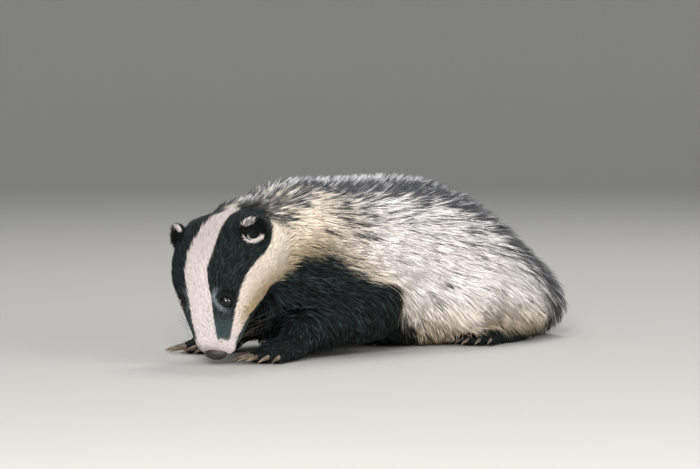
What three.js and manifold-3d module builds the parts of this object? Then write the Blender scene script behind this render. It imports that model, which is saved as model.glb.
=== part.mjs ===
// A European badger, life size, crouched low with its nose at the ground and its head turned a little to its left.
// Millimetres. x runs to the animal's left, y to its tail and z up. The head is built in a frame of its own, with
// its origin between the ears, and is then turned and set on the neck.
import * as THREE from "three";
import { mergeVertices } from "three/addons/utils/BufferGeometryUtils.js";
import Module from "manifold-3d";

const wasm = await Module();
wasm.setup();

// Driving sizes
const gap = 0.3; // between neighbouring pieces
const backHeight = 188; // floor to the tips of the coat on the back
const belly = 6; // floor to the belly hair
const trunkHalf = 100; // half the width over the coat
const rumpEnd = 236; // where the trunk ends behind
const earToNose = 124; // ear line to the front of the muzzle
const eyeRadius = 6.4;
const forepaw = { length: 50, half: 22, claw: 22, toe: 7.5 };
const hindpaw = { length: 78, half: 19, claw: 13, toe: 7 };

const headPlace = new THREE.Vector3(45, -295, 134);
const headTurn = new THREE.Euler(
  THREE.MathUtils.degToRad(69.3),
  THREE.MathUtils.degToRad(-11.3),
  THREE.MathUtils.degToRad(21.8),
  "ZXY",
);
const headMatrix = new THREE.Matrix4().compose(
  headPlace,
  new THREE.Quaternion().setFromEuler(headTurn),
  new THREE.Vector3(1, 1, 1),
);

// The trunk and neck, from the rump to inside the head: the middle of each section, half its width, its reach up
// and down from the middle, and the depth of coat that these sizes include.
const trunk = {
  stations: [
    { y: rumpEnd, x: 0, mid: 47, half: 37, up: 25, down: 30, coat: 22 },
    { y: 214, x: 0, mid: 41, half: 65, up: 37, down: 41 - belly, coat: 26 },
    { y: 170, x: 0, mid: 42, half: 83, up: 69, down: 42 - belly, coat: 29 },
    { y: 105, x: 0, mid: 51, half: trunkHalf - 4, up: 107, down: 51 - belly, coat: 29 },
    { y: 30, x: 0, mid: 63, half: trunkHalf, up: 122, down: 63 - belly, coat: 27 },
    { y: -50, x: 0, mid: 77, half: 96, up: backHeight - 77, down: 77 - belly, coat: 25 },
    { y: -120, x: 8, mid: 90, half: 86, up: backHeight - 90, down: 84 - belly, coat: 22 },
    { y: -180, x: 21, mid: 104, half: 74, up: 85, down: 80, coat: 18 },
    { y: -232, x: 35, mid: 114, half: 61, up: 61, down: 58, coat: 14 },
    { y: -276, x: 43, mid: 120, half: 49, up: 41, down: 42, coat: 10 },
    { y: -298, x: 46, mid: 122, half: 38, up: 29, down: 30, coat: 8 },
  ],
  bulges: [
    { name: "shoulder", y: -126, angle: -0.4, height: 13, length: 58, width: 0.5 },
    { name: "flank", y: -28, angle: -0.3, height: -5, length: 45, width: 0.6 },
    { name: "haunch", y: 105, angle: 0.1, height: 8, length: 70, width: 0.6 },
  ],
  caps: [0.1, 0.06],
  power: 2.25,
  freeEnd: 22,
};

const head = {
  stations: [
    { y: 24, x: 0, mid: 0, half: 30, up: 20, down: 34, coat: 5 },
    { y: 8, x: 0, mid: -3, half: 53, up: 36, down: 44, coat: 5 },
    { y: -14, x: 0, mid: -5, half: 58, up: 42, down: 45, coat: 5 },
    { y: -42, x: 0, mid: -7, half: 55, up: 40, down: 40, coat: 5 },
    { y: -68, x: 0, mid: -10, half: 47, up: 33, down: 31, coat: 4 },
    { y: -88, x: 0, mid: -13, half: 36, up: 27, down: 23, coat: 3 },
    { y: -106, x: 0, mid: -17, half: 26, up: 20, down: 16, coat: 2 },
    { y: -earToNose, x: 0, mid: -22, half: 19, up: 14, down: 11, coat: 1.5 },
  ],
  bulges: [
    { name: "cheek", y: -30, angle: -0.5, height: 4, length: 30, width: 0.4 },
    { name: "brow", y: -62, angle: 0.95, height: 2.5, length: 13, width: 0.28 },
    { name: "eye hollow", y: -80, angle: 0.5, height: -2, length: 14, width: 0.35 },
    { name: "upper lip", y: -100, angle: -0.75, height: 2.2, length: 22, width: 0.4 },
  ],
  caps: [0.14, 0.07],
  power: 2.15,
};

const jaw = {
  stations: [
    { y: 14, x: 0, mid: -42, half: 26, up: 10, down: 12, coat: 4 },
    { y: -25, x: 0, mid: -42, half: 36, up: 12, down: 12, coat: 4 },
    { y: -58, x: 0, mid: -40, half: 28, up: 9, down: 9, coat: 3 },
    { y: -90, x: 0, mid: -37, half: 20, up: 7, down: 8, coat: 2 },
    { y: -112, x: 0, mid: -35, half: 13, up: 5, down: 6, coat: 1.5 },
  ],
  bulges: [],
  caps: [0.2, 0.12],
  power: 2,
};

const tail = {
  stations: [
    { y: 196, x: 0, mid: 58, half: 30, up: 28, down: 28, coat: 15 },
    { y: 226, x: -10, mid: 46, half: 33, up: 30, down: 28, coat: 17 },
    { y: 254, x: -27, mid: 36, half: 33, up: 28, down: 27, coat: 18 },
    { y: 276, x: -45, mid: 29, half: 28, up: 22, down: 22, coat: 16 },
    { y: 292, x: -60, mid: 24, half: 17, up: 14, down: 14, coat: 10 },
  ],
  bulges: [],
  caps: [0.15, 0.25],
  power: 2,
  freeEnd: 8,
};

// A smooth line through evenly spaced values, at t from 0 to 1
function through(values, t) {
  const last = values.length - 1;
  const place = THREE.MathUtils.clamp(t, 0, 1) * last;
  const i = Math.min(Math.floor(place), last - 1);
  const u = place - i;
  const b = values[i];
  const c = values[i + 1];
  const a = i > 0 ? values[i - 1] : 2 * b - c;
  const d = i + 2 <= last ? values[i + 2] : 2 * c - b;
  return b + 0.5 * u * (c - a + u * (2 * a - 5 * b + 4 * c - d + u * (3 * (b - c) + d - a)));
}

// Where along a form's stations its y has this value
function stationAt(form, y) {
  const ys = form.stations.map((s) => s.y);
  const falling = ys[0] > ys[1];
  let [low, high] = [0, 1];
  for (let i = 0; i < 30; i++) {
    const t = (low + high) / 2;
    if (through(ys, t) > y === falling) low = t;
    else high = t;
  }
  return (low + high) / 2;
}

const roundEnd = (share) => Math.sqrt(1 - (1 - Math.min(share, 1)) ** 2);

// A point of a form at t along it and an angle round it, 0 at its left and a quarter turn at its top. depth is the
// share of the coat that is taken off, 0 at the tips and 1 at the skin, and grow is added all over.
function formPoint(form, t, angle, depth = 0, grow = 0) {
  const at = (name) => through(form.stations.map((s) => s[name]), t);
  const [c, s] = [Math.cos(angle), Math.sin(angle)];
  const y = at("y");
  const vertical = s >= 0 ? at("up") : at("down");
  let reach = (Math.abs(c / at("half")) ** form.power + Math.abs(s / vertical) ** form.power) ** (-1 / form.power);
  for (const b of form.bulges) {
    for (const turned of [angle - b.angle, Math.PI - angle - b.angle]) {
      const away = Math.atan2(Math.sin(turned), Math.cos(turned));
      reach += b.height * Math.exp(-(((y - b.y) / b.length) ** 2) - (away / b.width) ** 2);
    }
  }
  const under = 1 - 0.6 * Math.max(0, -s);
  const end = roundEnd(t / form.caps[0]) * roundEnd((1 - t) / form.caps[1]);
  const r = (reach - at("coat") * depth * under) * end + grow * Math.sqrt(end);
  const ahead = Math.sign(form.stations[0].y - form.stations[1].y);
  const outward = (t < 0.5 ? ahead : -ahead) * (grow - at("coat") * depth * 0.8) * (1 - end);
  return new THREE.Vector3(at("x") + r * c, y + outward, at("mid") + r * s);
}

// A three.js geometry as a manifold, with its seams merged
function solid(geometry) {
  const bare = geometry.index ? geometry.toNonIndexed() : geometry.clone();
  bare.deleteAttribute("normal");
  bare.deleteAttribute("uv");
  const merged = mergeVertices(bare, 1e-3);
  const faces = [];
  for (let i = 0; i < merged.index.count; i += 3) {
    const [a, b, c] = merged.index.array.slice(i, i + 3);
    if (a !== b && b !== c && c !== a) faces.push(a, b, c);
  }
  const closed = (triVerts) =>
    new wasm.Manifold(
      new wasm.Mesh({
        numProp: 3,
        vertProperties: merged.attributes.position.array,
        triVerts: new Uint32Array(triVerts),
      }),
    );
  const made = closed(faces);
  return made.volume() > 0 ? made : closed(faces.reverse());
}

const joined = (solids) => wasm.Manifold.union(solids);

// The largest closed surface of a solid, which drops scraps and fills sealed hollows
function largest(made) {
  const pieces = made.decompose();
  return pieces.reduce((best, piece) => (piece.volume() > best.volume() ? piece : best));
}

// A ball whose rows and columns follow a form
function loft(form, around, rows, depth = 0, grow = 0) {
  const ball = new THREE.SphereGeometry(1, around, rows);
  const { position, uv } = ball.attributes;
  for (let i = 0; i < position.count; i++) {
    const row = 1 - uv.getY(i);
    const t = row - 0.09 * Math.sin(2 * Math.PI * row);
    const p = formPoint(form, t, uv.getX(i) * 2 * Math.PI, depth, grow);
    position.setXYZ(i, p.x, p.y, p.z);
  }
  return solid(ball);
}

function ellipsoid(centre, radii, turn = [0, 0, 0], grow = 0, detail = [10, 6]) {
  const ball = new THREE.SphereGeometry(1, ...detail);
  ball.scale(radii[0] + grow, radii[1] + grow, radii[2] + grow);
  ball.applyMatrix4(new THREE.Matrix4().makeRotationFromEuler(new THREE.Euler(...turn)));
  ball.translate(...centre);
  return solid(ball);
}

// A round limb from one point to another, with rounded ends and a radius that changes evenly
function limb(from, to, radii, grow = 0, detail = [7, 4]) {
  const [a, b] = [new THREE.Vector3(...from), new THREE.Vector3(...to)];
  const along = b.clone().sub(a);
  const ball = new THREE.SphereGeometry(1, ...detail);
  const { position, uv } = ball.attributes;
  for (let i = 0; i < position.count; i++) {
    const upper = uv.getY(i) >= 0.5;
    const radius = (upper ? radii[0] : radii[1]) + grow;
    position.setXYZ(i, ...[position.getX(i), position.getY(i), position.getZ(i)].map((n) => n * radius));
    if (!upper) position.setY(i, position.getY(i) - along.length());
  }
  const turn = new THREE.Quaternion().setFromUnitVectors(new THREE.Vector3(0, -1, 0), along.normalize());
  ball.applyQuaternion(turn);
  ball.translate(...from);
  return solid(ball);
}

const block = (size, centre) => solid(new THREE.BoxGeometry(...size).translate(...centre));

// Everything under the floor, so that what stands on it gets a flat
const underFloor = block([2000, 2000, 400], [0, 0, -200]);

const inHead = (made) => made.transform(headMatrix.elements);

// A flat tapered lock of hair: a cone of four sides bent along a path, wide across it and thin out from the skin
function lock(path, outs, halfWidth, thickness, grow = 0) {
  const rings = path.length - 1;
  const cone = new THREE.ConeGeometry(1, 1, 4, rings);
  const { position } = cone.attributes;
  const widths = [0.6, 1, 0.8, 0.45, 0];
  for (let i = 0; i < position.count; i++) {
    const f = position.getY(i) + 0.5;
    const k = Math.round(f * rings);
    const centre = path[k];
    const along = path[Math.min(k + 1, rings)].clone().sub(path[Math.max(k - 1, 0)]).normalize();
    const across = new THREE.Vector3().crossVectors(along, outs[k]).normalize();
    const out = new THREE.Vector3().crossVectors(across, along);
    const turn = Math.atan2(position.getZ(i), position.getX(i));
    const onAxis = Math.hypot(position.getX(i), position.getZ(i)) < 1e-6;
    const width = onAxis ? 0 : through(widths, f);
    const p = centre
      .clone()
      .addScaledVector(across, Math.cos(turn) * (halfWidth * width + (onAxis ? 0 : grow)))
      .addScaledVector(out, Math.sin(turn) * (thickness * (0.35 + 0.65 * width) * (onAxis ? 0 : 1) + (onAxis ? 0 : grow)));
    position.setXYZ(i, p.x, p.y, p.z);
  }
  return solid(cone);
}

// The outward direction of a form at t and angle
function outward(form, t, angle) {
  const step = 1e-3;
  const along = formPoint(form, t + step, angle).sub(formPoint(form, t - step, angle));
  const round = formPoint(form, t, angle + step).sub(formPoint(form, t, angle - step));
  const n = new THREE.Vector3().crossVectors(along, round).normalize();
  const c = formPoint(form, t, angle).sub(formPoint(form, t, angle + Math.PI));
  return n.dot(c) > 0 ? n : n.negate();
}

// A point moved onto a form at the given depth of its coat, or left where it is behind the form's end
function settled(form, point, depth) {
  const ys = form.stations.map((s) => s.y);
  if (point.y > Math.max(...ys) - form.freeEnd) return { point };
  const t = stationAt(form, point.y);
  const at = (name) => through(form.stations.map((s) => s[name]), t);
  const angle = Math.atan2(point.z - at("mid"), point.x - at("x"));
  return { point: formPoint(form, t, angle, depth), out: outward(form, t, angle) };
}

// The path of a lock from its root in the core to its tip at the outside of the coat. It follows the form along
// the flow, and goes straight on where the form ends.
function lockPath(form, root, flow, length, rings, sunk, lift) {
  const path = [];
  const outs = [];
  let { point, out } = settled(form, root, sunk);
  for (let k = 0; k <= rings; k++) {
    path.push(point);
    outs.push(out);
    const heading = flow.clone().addScaledVector(out, -flow.dot(out)).normalize();
    const depth = THREE.MathUtils.lerp(sunk, -lift, Math.sqrt((k + 1) / rings));
    const next = settled(form, point.clone().addScaledVector(heading, length / rings), depth);
    point = next.point;
    out = next.out ?? out;
  }
  return [path, outs];
}

// Paws stand flat: a palm, five toes that fan out in front of it, and a curved claw on each toe
function paw(size, place, turn, grow = 0) {
  const pieces = [ellipsoid([0, size.length * 0.1, 12], [size.half, size.length * 0.62, 13], [0, 0, 0], grow)];
  for (let i = 0; i < 5; i++) {
    const fan = (i - 2) * 0.17;
    const root = [Math.sin(fan) * size.half * 1.9, -size.length * 0.28 + 3 * Math.abs(i - 2), size.toe + 1];
    const reach = size.length * 0.36 - 2.5 * Math.abs(i - 2);
    const tip = [root[0] + Math.sin(fan) * reach, root[1] - Math.cos(fan) * reach, size.toe - 0.8];
    pieces.push(limb(root, tip, [size.toe, size.toe * 0.86], grow));
    pieces.push(claw(size, tip, fan, grow));
  }
  const made = joined(pieces)
    .rotate([0, 0, THREE.MathUtils.radToDeg(turn)])
    .translate([place[0], place[1], 0]);
  return made;
}

function claw(size, tip, fan, grow) {
  const rings = 2;
  const cone = new THREE.ConeGeometry(1, 1, 5, rings);
  const { position } = cone.attributes;
  const base = size.toe * 0.42;
  for (let i = 0; i < position.count; i++) {
    const f = position.getY(i) + 0.5;
    const onAxis = Math.hypot(position.getX(i), position.getZ(i)) < 1e-6;
    const turn = Math.atan2(position.getZ(i), position.getX(i));
    const radius = onAxis ? 0 : base * (1 - f) ** 0.7 + grow;
    const reach = f * (size.claw + size.toe * 0.7);
    const drop = size.claw * 0.02 + (size.toe - 1.5 - base * 0.4) * f ** 2;
    position.setXYZ(
      i,
      tip[0] + Math.sin(fan) * reach + Math.cos(turn) * radius * 0.8,
      tip[1] - Math.cos(fan) * reach,
      tip[2] + 1.2 - drop + Math.sin(turn) * radius,
    );
  }
  return solid(cone);
}

// An ear is a rounded cup that opens forwards and outwards, cut where it meets the head
function ear(side, headSolid) {
  const centre = new THREE.Vector3(side * 53, -2, 19);
  const opening = new THREE.Vector3(side * 0.55, -0.35, 0.76).normalize();
  const turn = new THREE.Quaternion().setFromUnitVectors(new THREE.Vector3(0, 0, 1), opening);
  const disc = (radii, lift) => {
    const ball = new THREE.SphereGeometry(1, 14, 8).rotateX(Math.PI / 2).scale(...radii);
    const place = centre.clone().addScaledVector(opening, lift);
    return solid(ball.applyQuaternion(turn).translate(place.x, place.y, place.z));
  };
  return largest(disc([15.5, 16.5, 8.5], 0).subtract(disc([12.6, 13.6, 9], 6.5)).subtract(headSolid));
}

const eyePlace = (side) => [side * 25.5, -76, 9];

// Lids are a slightly larger ball over the eye, part of the head, opened by an almond along the way it looks
function lids(side) {
  return ellipsoid(eyePlace(side), [eyeRadius + 1.9, eyeRadius + 3.2, eyeRadius + 1.8], [0, 0, 0], 0, [14, 9]);
}

function lidOpening(side) {
  const [x, y, z] = eyePlace(side);
  const almond = new THREE.Shape();
  almond.moveTo(-eyeRadius * 1.15, 0);
  almond.quadraticCurveTo(0, eyeRadius * 1.35, eyeRadius * 1.15, 0);
  almond.quadraticCurveTo(0, -eyeRadius * 1.2, -eyeRadius * 1.15, 0);
  const prism = new THREE.ExtrudeGeometry(almond, { depth: 20, bevelEnabled: false, curveSegments: 4 });
  const look = new THREE.Matrix4().lookAt(
    new THREE.Vector3(side * 0.55, -0.4, 0.73),
    new THREE.Vector3(),
    new THREE.Vector3(0, 0.4, 1),
  );
  prism.applyMatrix4(look);
  prism.translate(x, y, z);
  return solid(prism);
}

const nosePlace = [0, -earToNose + 2, -21];

function nosePad(grow = 0) {
  const pad = ellipsoid(nosePlace, [12.5, 7, 9], [0.25, 0, 0], grow, [14, 8]);
  if (grow > 0) return pad;
  const nostrils = [-1, 1].map((side) =>
    ellipsoid([side * 5.4, nosePlace[1] - 7, nosePlace[2] + 0.5], [2.6, 4.5, 3.2], [0, 0, side * -0.5], 0, [8, 6]),
  );
  return pad.subtract(joined(nostrils));
}

// Numbers from 0 to 1 that are the same in every run
function seeded(seed) {
  let state = seed;
  return () => {
    state = (state * 1664525 + 1013904223) % 4294967296;
    return state / 4294967296;
  };
}

// Which way the coat lies at a point of the trunk: back along the body, and down over the flanks and the rump
function trunkFlow(y, angle, sway) {
  const side = Math.cos(angle);
  const down = 0.05 + 0.4 * Math.abs(side) + 1.1 * THREE.MathUtils.smoothstep(y, 60, 230);
  return new THREE.Vector3(side * 0.1 + sway, 1, -down).normalize();
}

// Along the tail the coat follows the line of the middles of its sections
function tailFlow(y, angle, sway) {
  const middle = (place) => {
    const t = stationAt(tail, place);
    return new THREE.Vector3(through(tail.stations.map((s) => s.x), t), place, through(tail.stations.map((s) => s.mid), t));
  };
  const flow = middle(y + 8).sub(middle(y - 8));
  return flow.add(new THREE.Vector3(8 * sway, 0, 0)).normalize();
}

// The long coat as locks in staggered rows, none of them underneath: where the first and last rows are, how far
// apart the rows and the locks in a row are, the locks' own size, and how deep their roots go. The size grows from
// the given share at the first row to full size at fullSize.
const trunkCoat = {
  flow: trunkFlow,
  seed: 11,
  rows: [-260, 200],
  rowStep: 44,
  across: 47,
  length: 82,
  halfWidth: 21.5,
  thickness: 4.4,
  firstShare: 0.68,
  fullSize: -110,
  lowest: -0.7,
  sunk: 0.74,
};
const tailCoat = {
  flow: tailFlow,
  seed: 5,
  rows: [226, 258],
  rowStep: 32,
  across: 30,
  length: 48,
  halfWidth: 14,
  thickness: 3.6,
  firstShare: 1,
  fullSize: 227,
  lowest: -0.5,
  sunk: 0.78,
};
const lockRings = 3;
const lowestTip = 5; // above the floor

function coatLocks(form, coat) {
  const random = seeded(coat.seed);
  const locks = [];
  const [first, last] = coat.rows;
  const rows = Math.round((last - first) / coat.rowStep);
  for (let row = 0; row <= rows; row++) {
    const y = THREE.MathUtils.lerp(first, last, row / rows);
    const t = stationAt(form, y);
    const size = THREE.MathUtils.lerp(coat.firstShare, 1, THREE.MathUtils.smoothstep(y, first, coat.fullSize));
    const around = through(form.stations.map((s) => s.half + s.up), t) * 0.5;
    const span = Math.PI - 2 * coat.lowest;
    const count = Math.max(4, Math.round((around * span) / (coat.across * size)));
    for (let i = 0; i < count; i++) {
      const share = (i + (row % 2 ? 0.75 : 0.25) + 0.2 * (random() - 0.5)) / count;
      const angle = coat.lowest + span * share;
      const root = formPoint(form, t, angle, coat.sunk);
      root.y += 0.12 * coat.length * (random() - 0.5);
      const flow = coat.flow(y, angle, 0.2 * (random() - 0.5));
      const length = coat.length * size * (0.88 + 0.24 * random());
      const width = coat.halfWidth * size * (0.9 + 0.2 * random());
      const lift = 0.05 + 0.12 * random();
      const [path, outs] = lockPath(form, root, flow, length, lockRings, coat.sunk, lift);
      const made = (grow) => lock(path, outs, width, coat.thickness * size, grow);
      if (path[lockRings].z > lowestTip) locks.push({ y: root.y, made });
    }
  }
  return locks;
}

const bodyDepth = 0.5;
const legs = [-1, 1].map((side) => {
  const name = side > 0 ? "left" : "right";
  const forward = side > 0 ? 30 : 0;
  return {
    side,
    name,
    elbow: [side * 70 + 7, -112, 47],
    wrist: [side * 68 + 10, -186 - forward, 26],
    forepaw: [side * 67 + 10, -214 - forward],
    forepawTurn: side * 0.12,
    knee: [side * 78, 44, 48],
    heel: [side * 75, 140, 22],
    hindpaw: [side * 79, 90],
    hindpawTurn: side * 0.14,
  };
});

const forearm = (leg, grow = 0) => limb(leg.elbow, leg.wrist, [34, 21], grow, [12, 8]);
const shank = (leg, grow = 0) => limb(leg.knee, leg.heel, [29, 17], grow, [12, 8]);
const forePaw = (leg, grow = 0) => paw(forepaw, leg.forepaw, leg.forepawTurn, grow);
const hindPaw = (leg, grow = 0) => paw(hindpaw, leg.hindpaw, leg.hindpawTurn, grow);

// The trunk is parted by two thin cuts. Each lock belongs to the piece that holds its root, and lies over the piece
// behind, which is cut clear of it.
const neckCut = -178;
const loinCut = -12;
const far = 700;
const trunkPieces = [
  { name: "neck", from: -far, to: neckCut },
  { name: "torso_front", from: neckCut, to: loinCut },
  { name: "torso_rear", from: loinCut, to: far },
];
const slab = (from, to) => block([2 * far, to - from, 2 * far], [0, (from + to) / 2, 0]);

function buildSolids() {
  const made = new Map();
  const eyes = [-1, 1].map((side) => ellipsoid(eyePlace(side), [eyeRadius, eyeRadius, eyeRadius], [0, 0, 0], 0, [12, 8]));
  const eyeHoles = [-1, 1].map((side) =>
    joined([
      ellipsoid(eyePlace(side), [eyeRadius, eyeRadius, eyeRadius], [0, 0, 0], gap, [12, 8]),
      lidOpening(side),
    ]),
  );
  const skull = loft(head, 24, 19);
  const faceOf = joined([skull, lids(-1), lids(1)]);
  const headSolid = largest(faceOf.subtract(joined(eyeHoles)).subtract(nosePad(gap)));
  const headGrown = joined([loft(head, 24, 19, 0, gap), ellipsoid(nosePlace, [12.5, 7, 9], [0.25, 0, 0], gap)]);
  const jawSolid = largest(loft(jaw, 16, 12).subtract(headGrown));
  const jawGrown = loft(jaw, 16, 12, 0, gap);

  made.set("head", inHead(headSolid));
  made.set("lower_jaw", inHead(jawSolid));
  made.set("nose", inHead(largest(nosePad())));
  made.set("eye_left", inHead(eyes[1]));
  made.set("eye_right", inHead(eyes[0]));
  made.set("ear_left", inHead(ear(1, headGrown)));
  made.set("ear_right", inHead(ear(-1, headGrown)));

  const cutAway = [inHead(headGrown), inHead(jawGrown)];
  for (const leg of legs) {
    const pawSolids = [
      ["forepaw_" + leg.name, forePaw(leg), forePaw(leg, gap), "foreleg_" + leg.name, forearm(leg), forearm(leg, gap)],
      ["hindpaw_" + leg.name, hindPaw(leg), hindPaw(leg, gap), "hindleg_" + leg.name, shank(leg), shank(leg, gap)],
    ];
    for (const [pawName, pawSolid, pawGrown, limbName, limbSolid, limbGrown] of pawSolids) {
      made.set(pawName, largest(pawSolid.subtract(underFloor)));
      made.set(limbName, largest(limbSolid.subtract(pawGrown).subtract(underFloor)));
      cutAway.push(pawGrown, limbGrown);
    }
  }

  const tailLocks = coatLocks(tail, tailCoat);
  const tailCore = joined([loft(tail, 14, 12, bodyDepth), ...tailLocks.map((l) => l.made(0))]);
  const trunkCore = (grow) => loft(trunk, 24, 22, bodyDepth, grow);
  const core = trunkCore(0);
  const trunkLocks = coatLocks(trunk, trunkCoat);
  for (const { name, from, to } of trunkPieces) {
    const own = trunkLocks.filter((l) => l.y >= from && l.y < to);
    const piece = joined([core.intersect(slab(from, to)), ...own.map((l) => l.made(0))]);
    const clear = piece.intersect(slab(from + gap, 2 * far)).subtract(joined([...cutAway, underFloor]));
    made.set(name, largest(clear));
    cutAway.push(...own.map((l) => l.made(gap)));
  }
  made.set("tail", largest(tailCore.subtract(joined([trunkCore(gap), ...cutAway, underFloor]))));
  return made;
}

// Colours of the coat, bare skin, eyes and claws
const finishes = {
  face: { color: 0xd9cdbd, roughness: 0.85, metalness: 0 },
  black_coat: { color: 0x1b1c1e, roughness: 0.8, metalness: 0 },
  grey_coat: { color: 0xa79f93, roughness: 0.9, metalness: 0 },
  nose_skin: { color: 0x1a1617, roughness: 0.45, metalness: 0 },
  eye: { color: 0x07070a, roughness: 0.08, metalness: 0 },
};

const finishOf = (name) => {
  if (name.startsWith("eye")) return "eye";
  if (name === "nose") return "nose_skin";
  if (name === "head" || name === "lower_jaw") return "face";
  if (/paw|leg|ear/.test(name)) return "black_coat";
  return "grey_coat";
};

function toMesh(name, made) {
  const { vertProperties, triVerts, numProp } = made.getMesh();
  const geometry = new THREE.BufferGeometry();
  const points = new Float32Array((vertProperties.length / numProp) * 3);
  for (let i = 0; i < points.length / 3; i++) points.set(vertProperties.subarray(i * numProp, i * numProp + 3), i * 3);
  geometry.setAttribute("position", new THREE.BufferAttribute(points, 3));
  geometry.setIndex(new THREE.BufferAttribute(triVerts, 1));
  geometry.computeVertexNormals();
  const mesh = new THREE.Mesh(geometry, new THREE.MeshStandardMaterial(finishes[finishOf(name)]));
  mesh.name = name;
  return mesh;
}

const badger = new THREE.Group();
for (const [name, made] of buildSolids()) badger.add(toMesh(name, made));

// The origin is on the floor, under the middle of the whole animal
const bounds = new THREE.Box3().setFromObject(badger, true);
const middle = bounds.getCenter(new THREE.Vector3());
badger.position.set(-middle.x, -middle.y, 0);

export default badger;
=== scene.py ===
import bpy
import numpy as np
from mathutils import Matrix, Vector

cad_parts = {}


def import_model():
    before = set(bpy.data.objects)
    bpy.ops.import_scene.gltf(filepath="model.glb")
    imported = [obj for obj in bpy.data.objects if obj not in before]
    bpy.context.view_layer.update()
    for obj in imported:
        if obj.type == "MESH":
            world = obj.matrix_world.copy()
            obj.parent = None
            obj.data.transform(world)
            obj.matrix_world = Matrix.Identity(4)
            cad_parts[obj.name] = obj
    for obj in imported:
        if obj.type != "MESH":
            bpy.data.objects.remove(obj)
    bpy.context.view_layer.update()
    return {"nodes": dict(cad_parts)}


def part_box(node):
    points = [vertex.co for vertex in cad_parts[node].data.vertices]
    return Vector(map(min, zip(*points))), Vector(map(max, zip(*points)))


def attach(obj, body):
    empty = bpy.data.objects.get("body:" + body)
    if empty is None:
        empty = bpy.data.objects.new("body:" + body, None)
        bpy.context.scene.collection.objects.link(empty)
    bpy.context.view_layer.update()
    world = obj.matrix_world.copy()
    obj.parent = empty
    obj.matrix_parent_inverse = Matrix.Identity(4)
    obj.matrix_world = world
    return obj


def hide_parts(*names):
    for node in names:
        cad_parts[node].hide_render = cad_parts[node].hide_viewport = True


# A European badger, life size, crouched with its nose at the ground. Shapes are worked out in millimetres in
# the animal's own frame, with x to its left, y to its tail and z up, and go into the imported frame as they
# become meshes.

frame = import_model()
nodes = frame["nodes"]

print("frame loaded:", len(nodes), "nodes")

# Sections from the rump to inside the head: y, x and z of the middle, half width, reach up and down, and
# depth of the coat. Bulges: y, angle round the form in radians, height, length and width.
trunk = {
    "stations": [
        (236, 0, 47, 37, 25, 30, 22),
        (214, 0, 41, 65, 37, 35, 26),
        (170, 0, 42, 83, 69, 36, 29),
        (105, 0, 51, 96, 107, 45, 29),
        (30, 0, 63, 100, 122, 57, 27),
        (-50, 0, 77, 96, 111, 71, 25),
        (-120, 8, 90, 86, 98, 78, 22),
        (-180, 21, 104, 74, 85, 80, 18),
        (-232, 35, 114, 61, 63, 58, 15),
        (-276, 43, 120, 49, 50, 42, 13),
        (-298, 46, 122, 38, 40, 30, 11),
    ],
    "bulges": [(-126, -0.4, 13, 58, 0.5), (-28, -0.3, -5, 45, 0.6), (105, 0.1, 8, 70, 0.6)],
    "caps": (0.1, 0.06),
    "power": 2.25,
}
# The same in the head's own frame, from behind the ears to the muzzle
head = {
    "stations": [
        (24, 15, 0, 30, 18, 34, 5),
        (8, 9, -3, 52, 31, 44, 5),
        (-14, 4, -5, 57, 39, 45, 5),
        (-42, 0, -7, 55, 40, 40, 5),
        (-68, 0, -10, 47, 33, 31, 4),
        (-88, 0, -13, 36, 27, 23, 3),
        (-106, 0, -17, 26, 20, 16, 2),
        (-124, 0, -22, 19, 14, 11, 1.5),
    ],
    "bulges": [
        (-30, -0.5, 4, 30, 0.4),
        (-62, 0.95, 2.5, 13, 0.28),
        (-80, 0.5, -2, 14, 0.35),
        (-100, -0.75, 2.2, 22, 0.4),
    ],
    "caps": (0.14, 0.07),
    "power": 2.15,
}
jaw = {
    "stations": [
        (14, 0, -42, 26, 10, 12, 4),
        (-25, 0, -42, 36, 12, 12, 4),
        (-58, 0, -40, 28, 9, 9, 3),
        (-90, 0, -37, 20, 7, 8, 2),
        (-112, 0, -35, 13, 5, 6, 1.5),
    ],
    "bulges": [],
    "caps": (0.2, 0.12),
    "power": 2,
}
tail = {
    "stations": [
        (196, 0, 58, 30, 28, 28, 15),
        (226, -10, 46, 33, 30, 28, 17),
        (254, -27, 36, 33, 28, 27, 18),
        (276, -45, 29, 28, 22, 22, 16),
        (292, -60, 24, 17, 14, 14, 10),
    ],
    "bulges": [],
    "caps": (0.15, 0.25),
    "power": 2,
}
columnNames = ("y", "x", "mid", "half", "up", "down", "coat")
forePaw = {"length": 50, "half": 22, "claw": 22, "toe": 7.5}
hindPaw = {"length": 78, "half": 19, "claw": 13, "toe": 7}
headPose = {"place": (45, -295, 134), "turn": 21.8, "nod": 69.3, "tilt": -11.3}
eyeSize = {"radius": 6.4, "side": 25.5, "y": -76, "z": 9}
nosePlace = (0, -122, -21)
skin = {
    "cell": 2.5,  # size of the grid's cells
    "trunkShare": 0.62,  # of the coat's depth, from its tips to the skin
    "tailShare": 0.7,
    "faceShare": 0.55,
    "legDepth": 4.5,
    "pawDepth": 1.2,
    "sole": 0.4,  # height of the soles over the floor
    "far": 60,  # stands for any place far outside a part
    "thinUnder": 0.6,  # how much thinner the coat is underneath
    "low": (-130, -345, -7.5),  # corners of the grid
    "high": (150, 335, 200),
    "steepness": (0.7, 3),  # limits of the distance's growth, when it is evened out
    "mixing": 9,  # how far one part's coat reaches into the next
}


def turnAbout(axis, degrees):
    # a rotation matrix about x, y or z
    a = np.radians(degrees)
    c, s = np.cos(a), np.sin(a)
    i, j = {"x": (1, 2), "y": (2, 0), "z": (0, 1)}[axis]
    turn = np.eye(3)
    turn[i, i], turn[i, j], turn[j, i], turn[j, j] = c, -s, s, c
    return turn


headAxes = turnAbout("z", headPose["turn"]) @ turnAbout("x", headPose["nod"])
headAxes = headAxes @ turnAbout("y", headPose["tilt"])


def toHead(points):
    return (points - np.array(headPose["place"])) @ headAxes


def fromHead(points):
    return points @ headAxes.T + np.array(headPose["place"])


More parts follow.
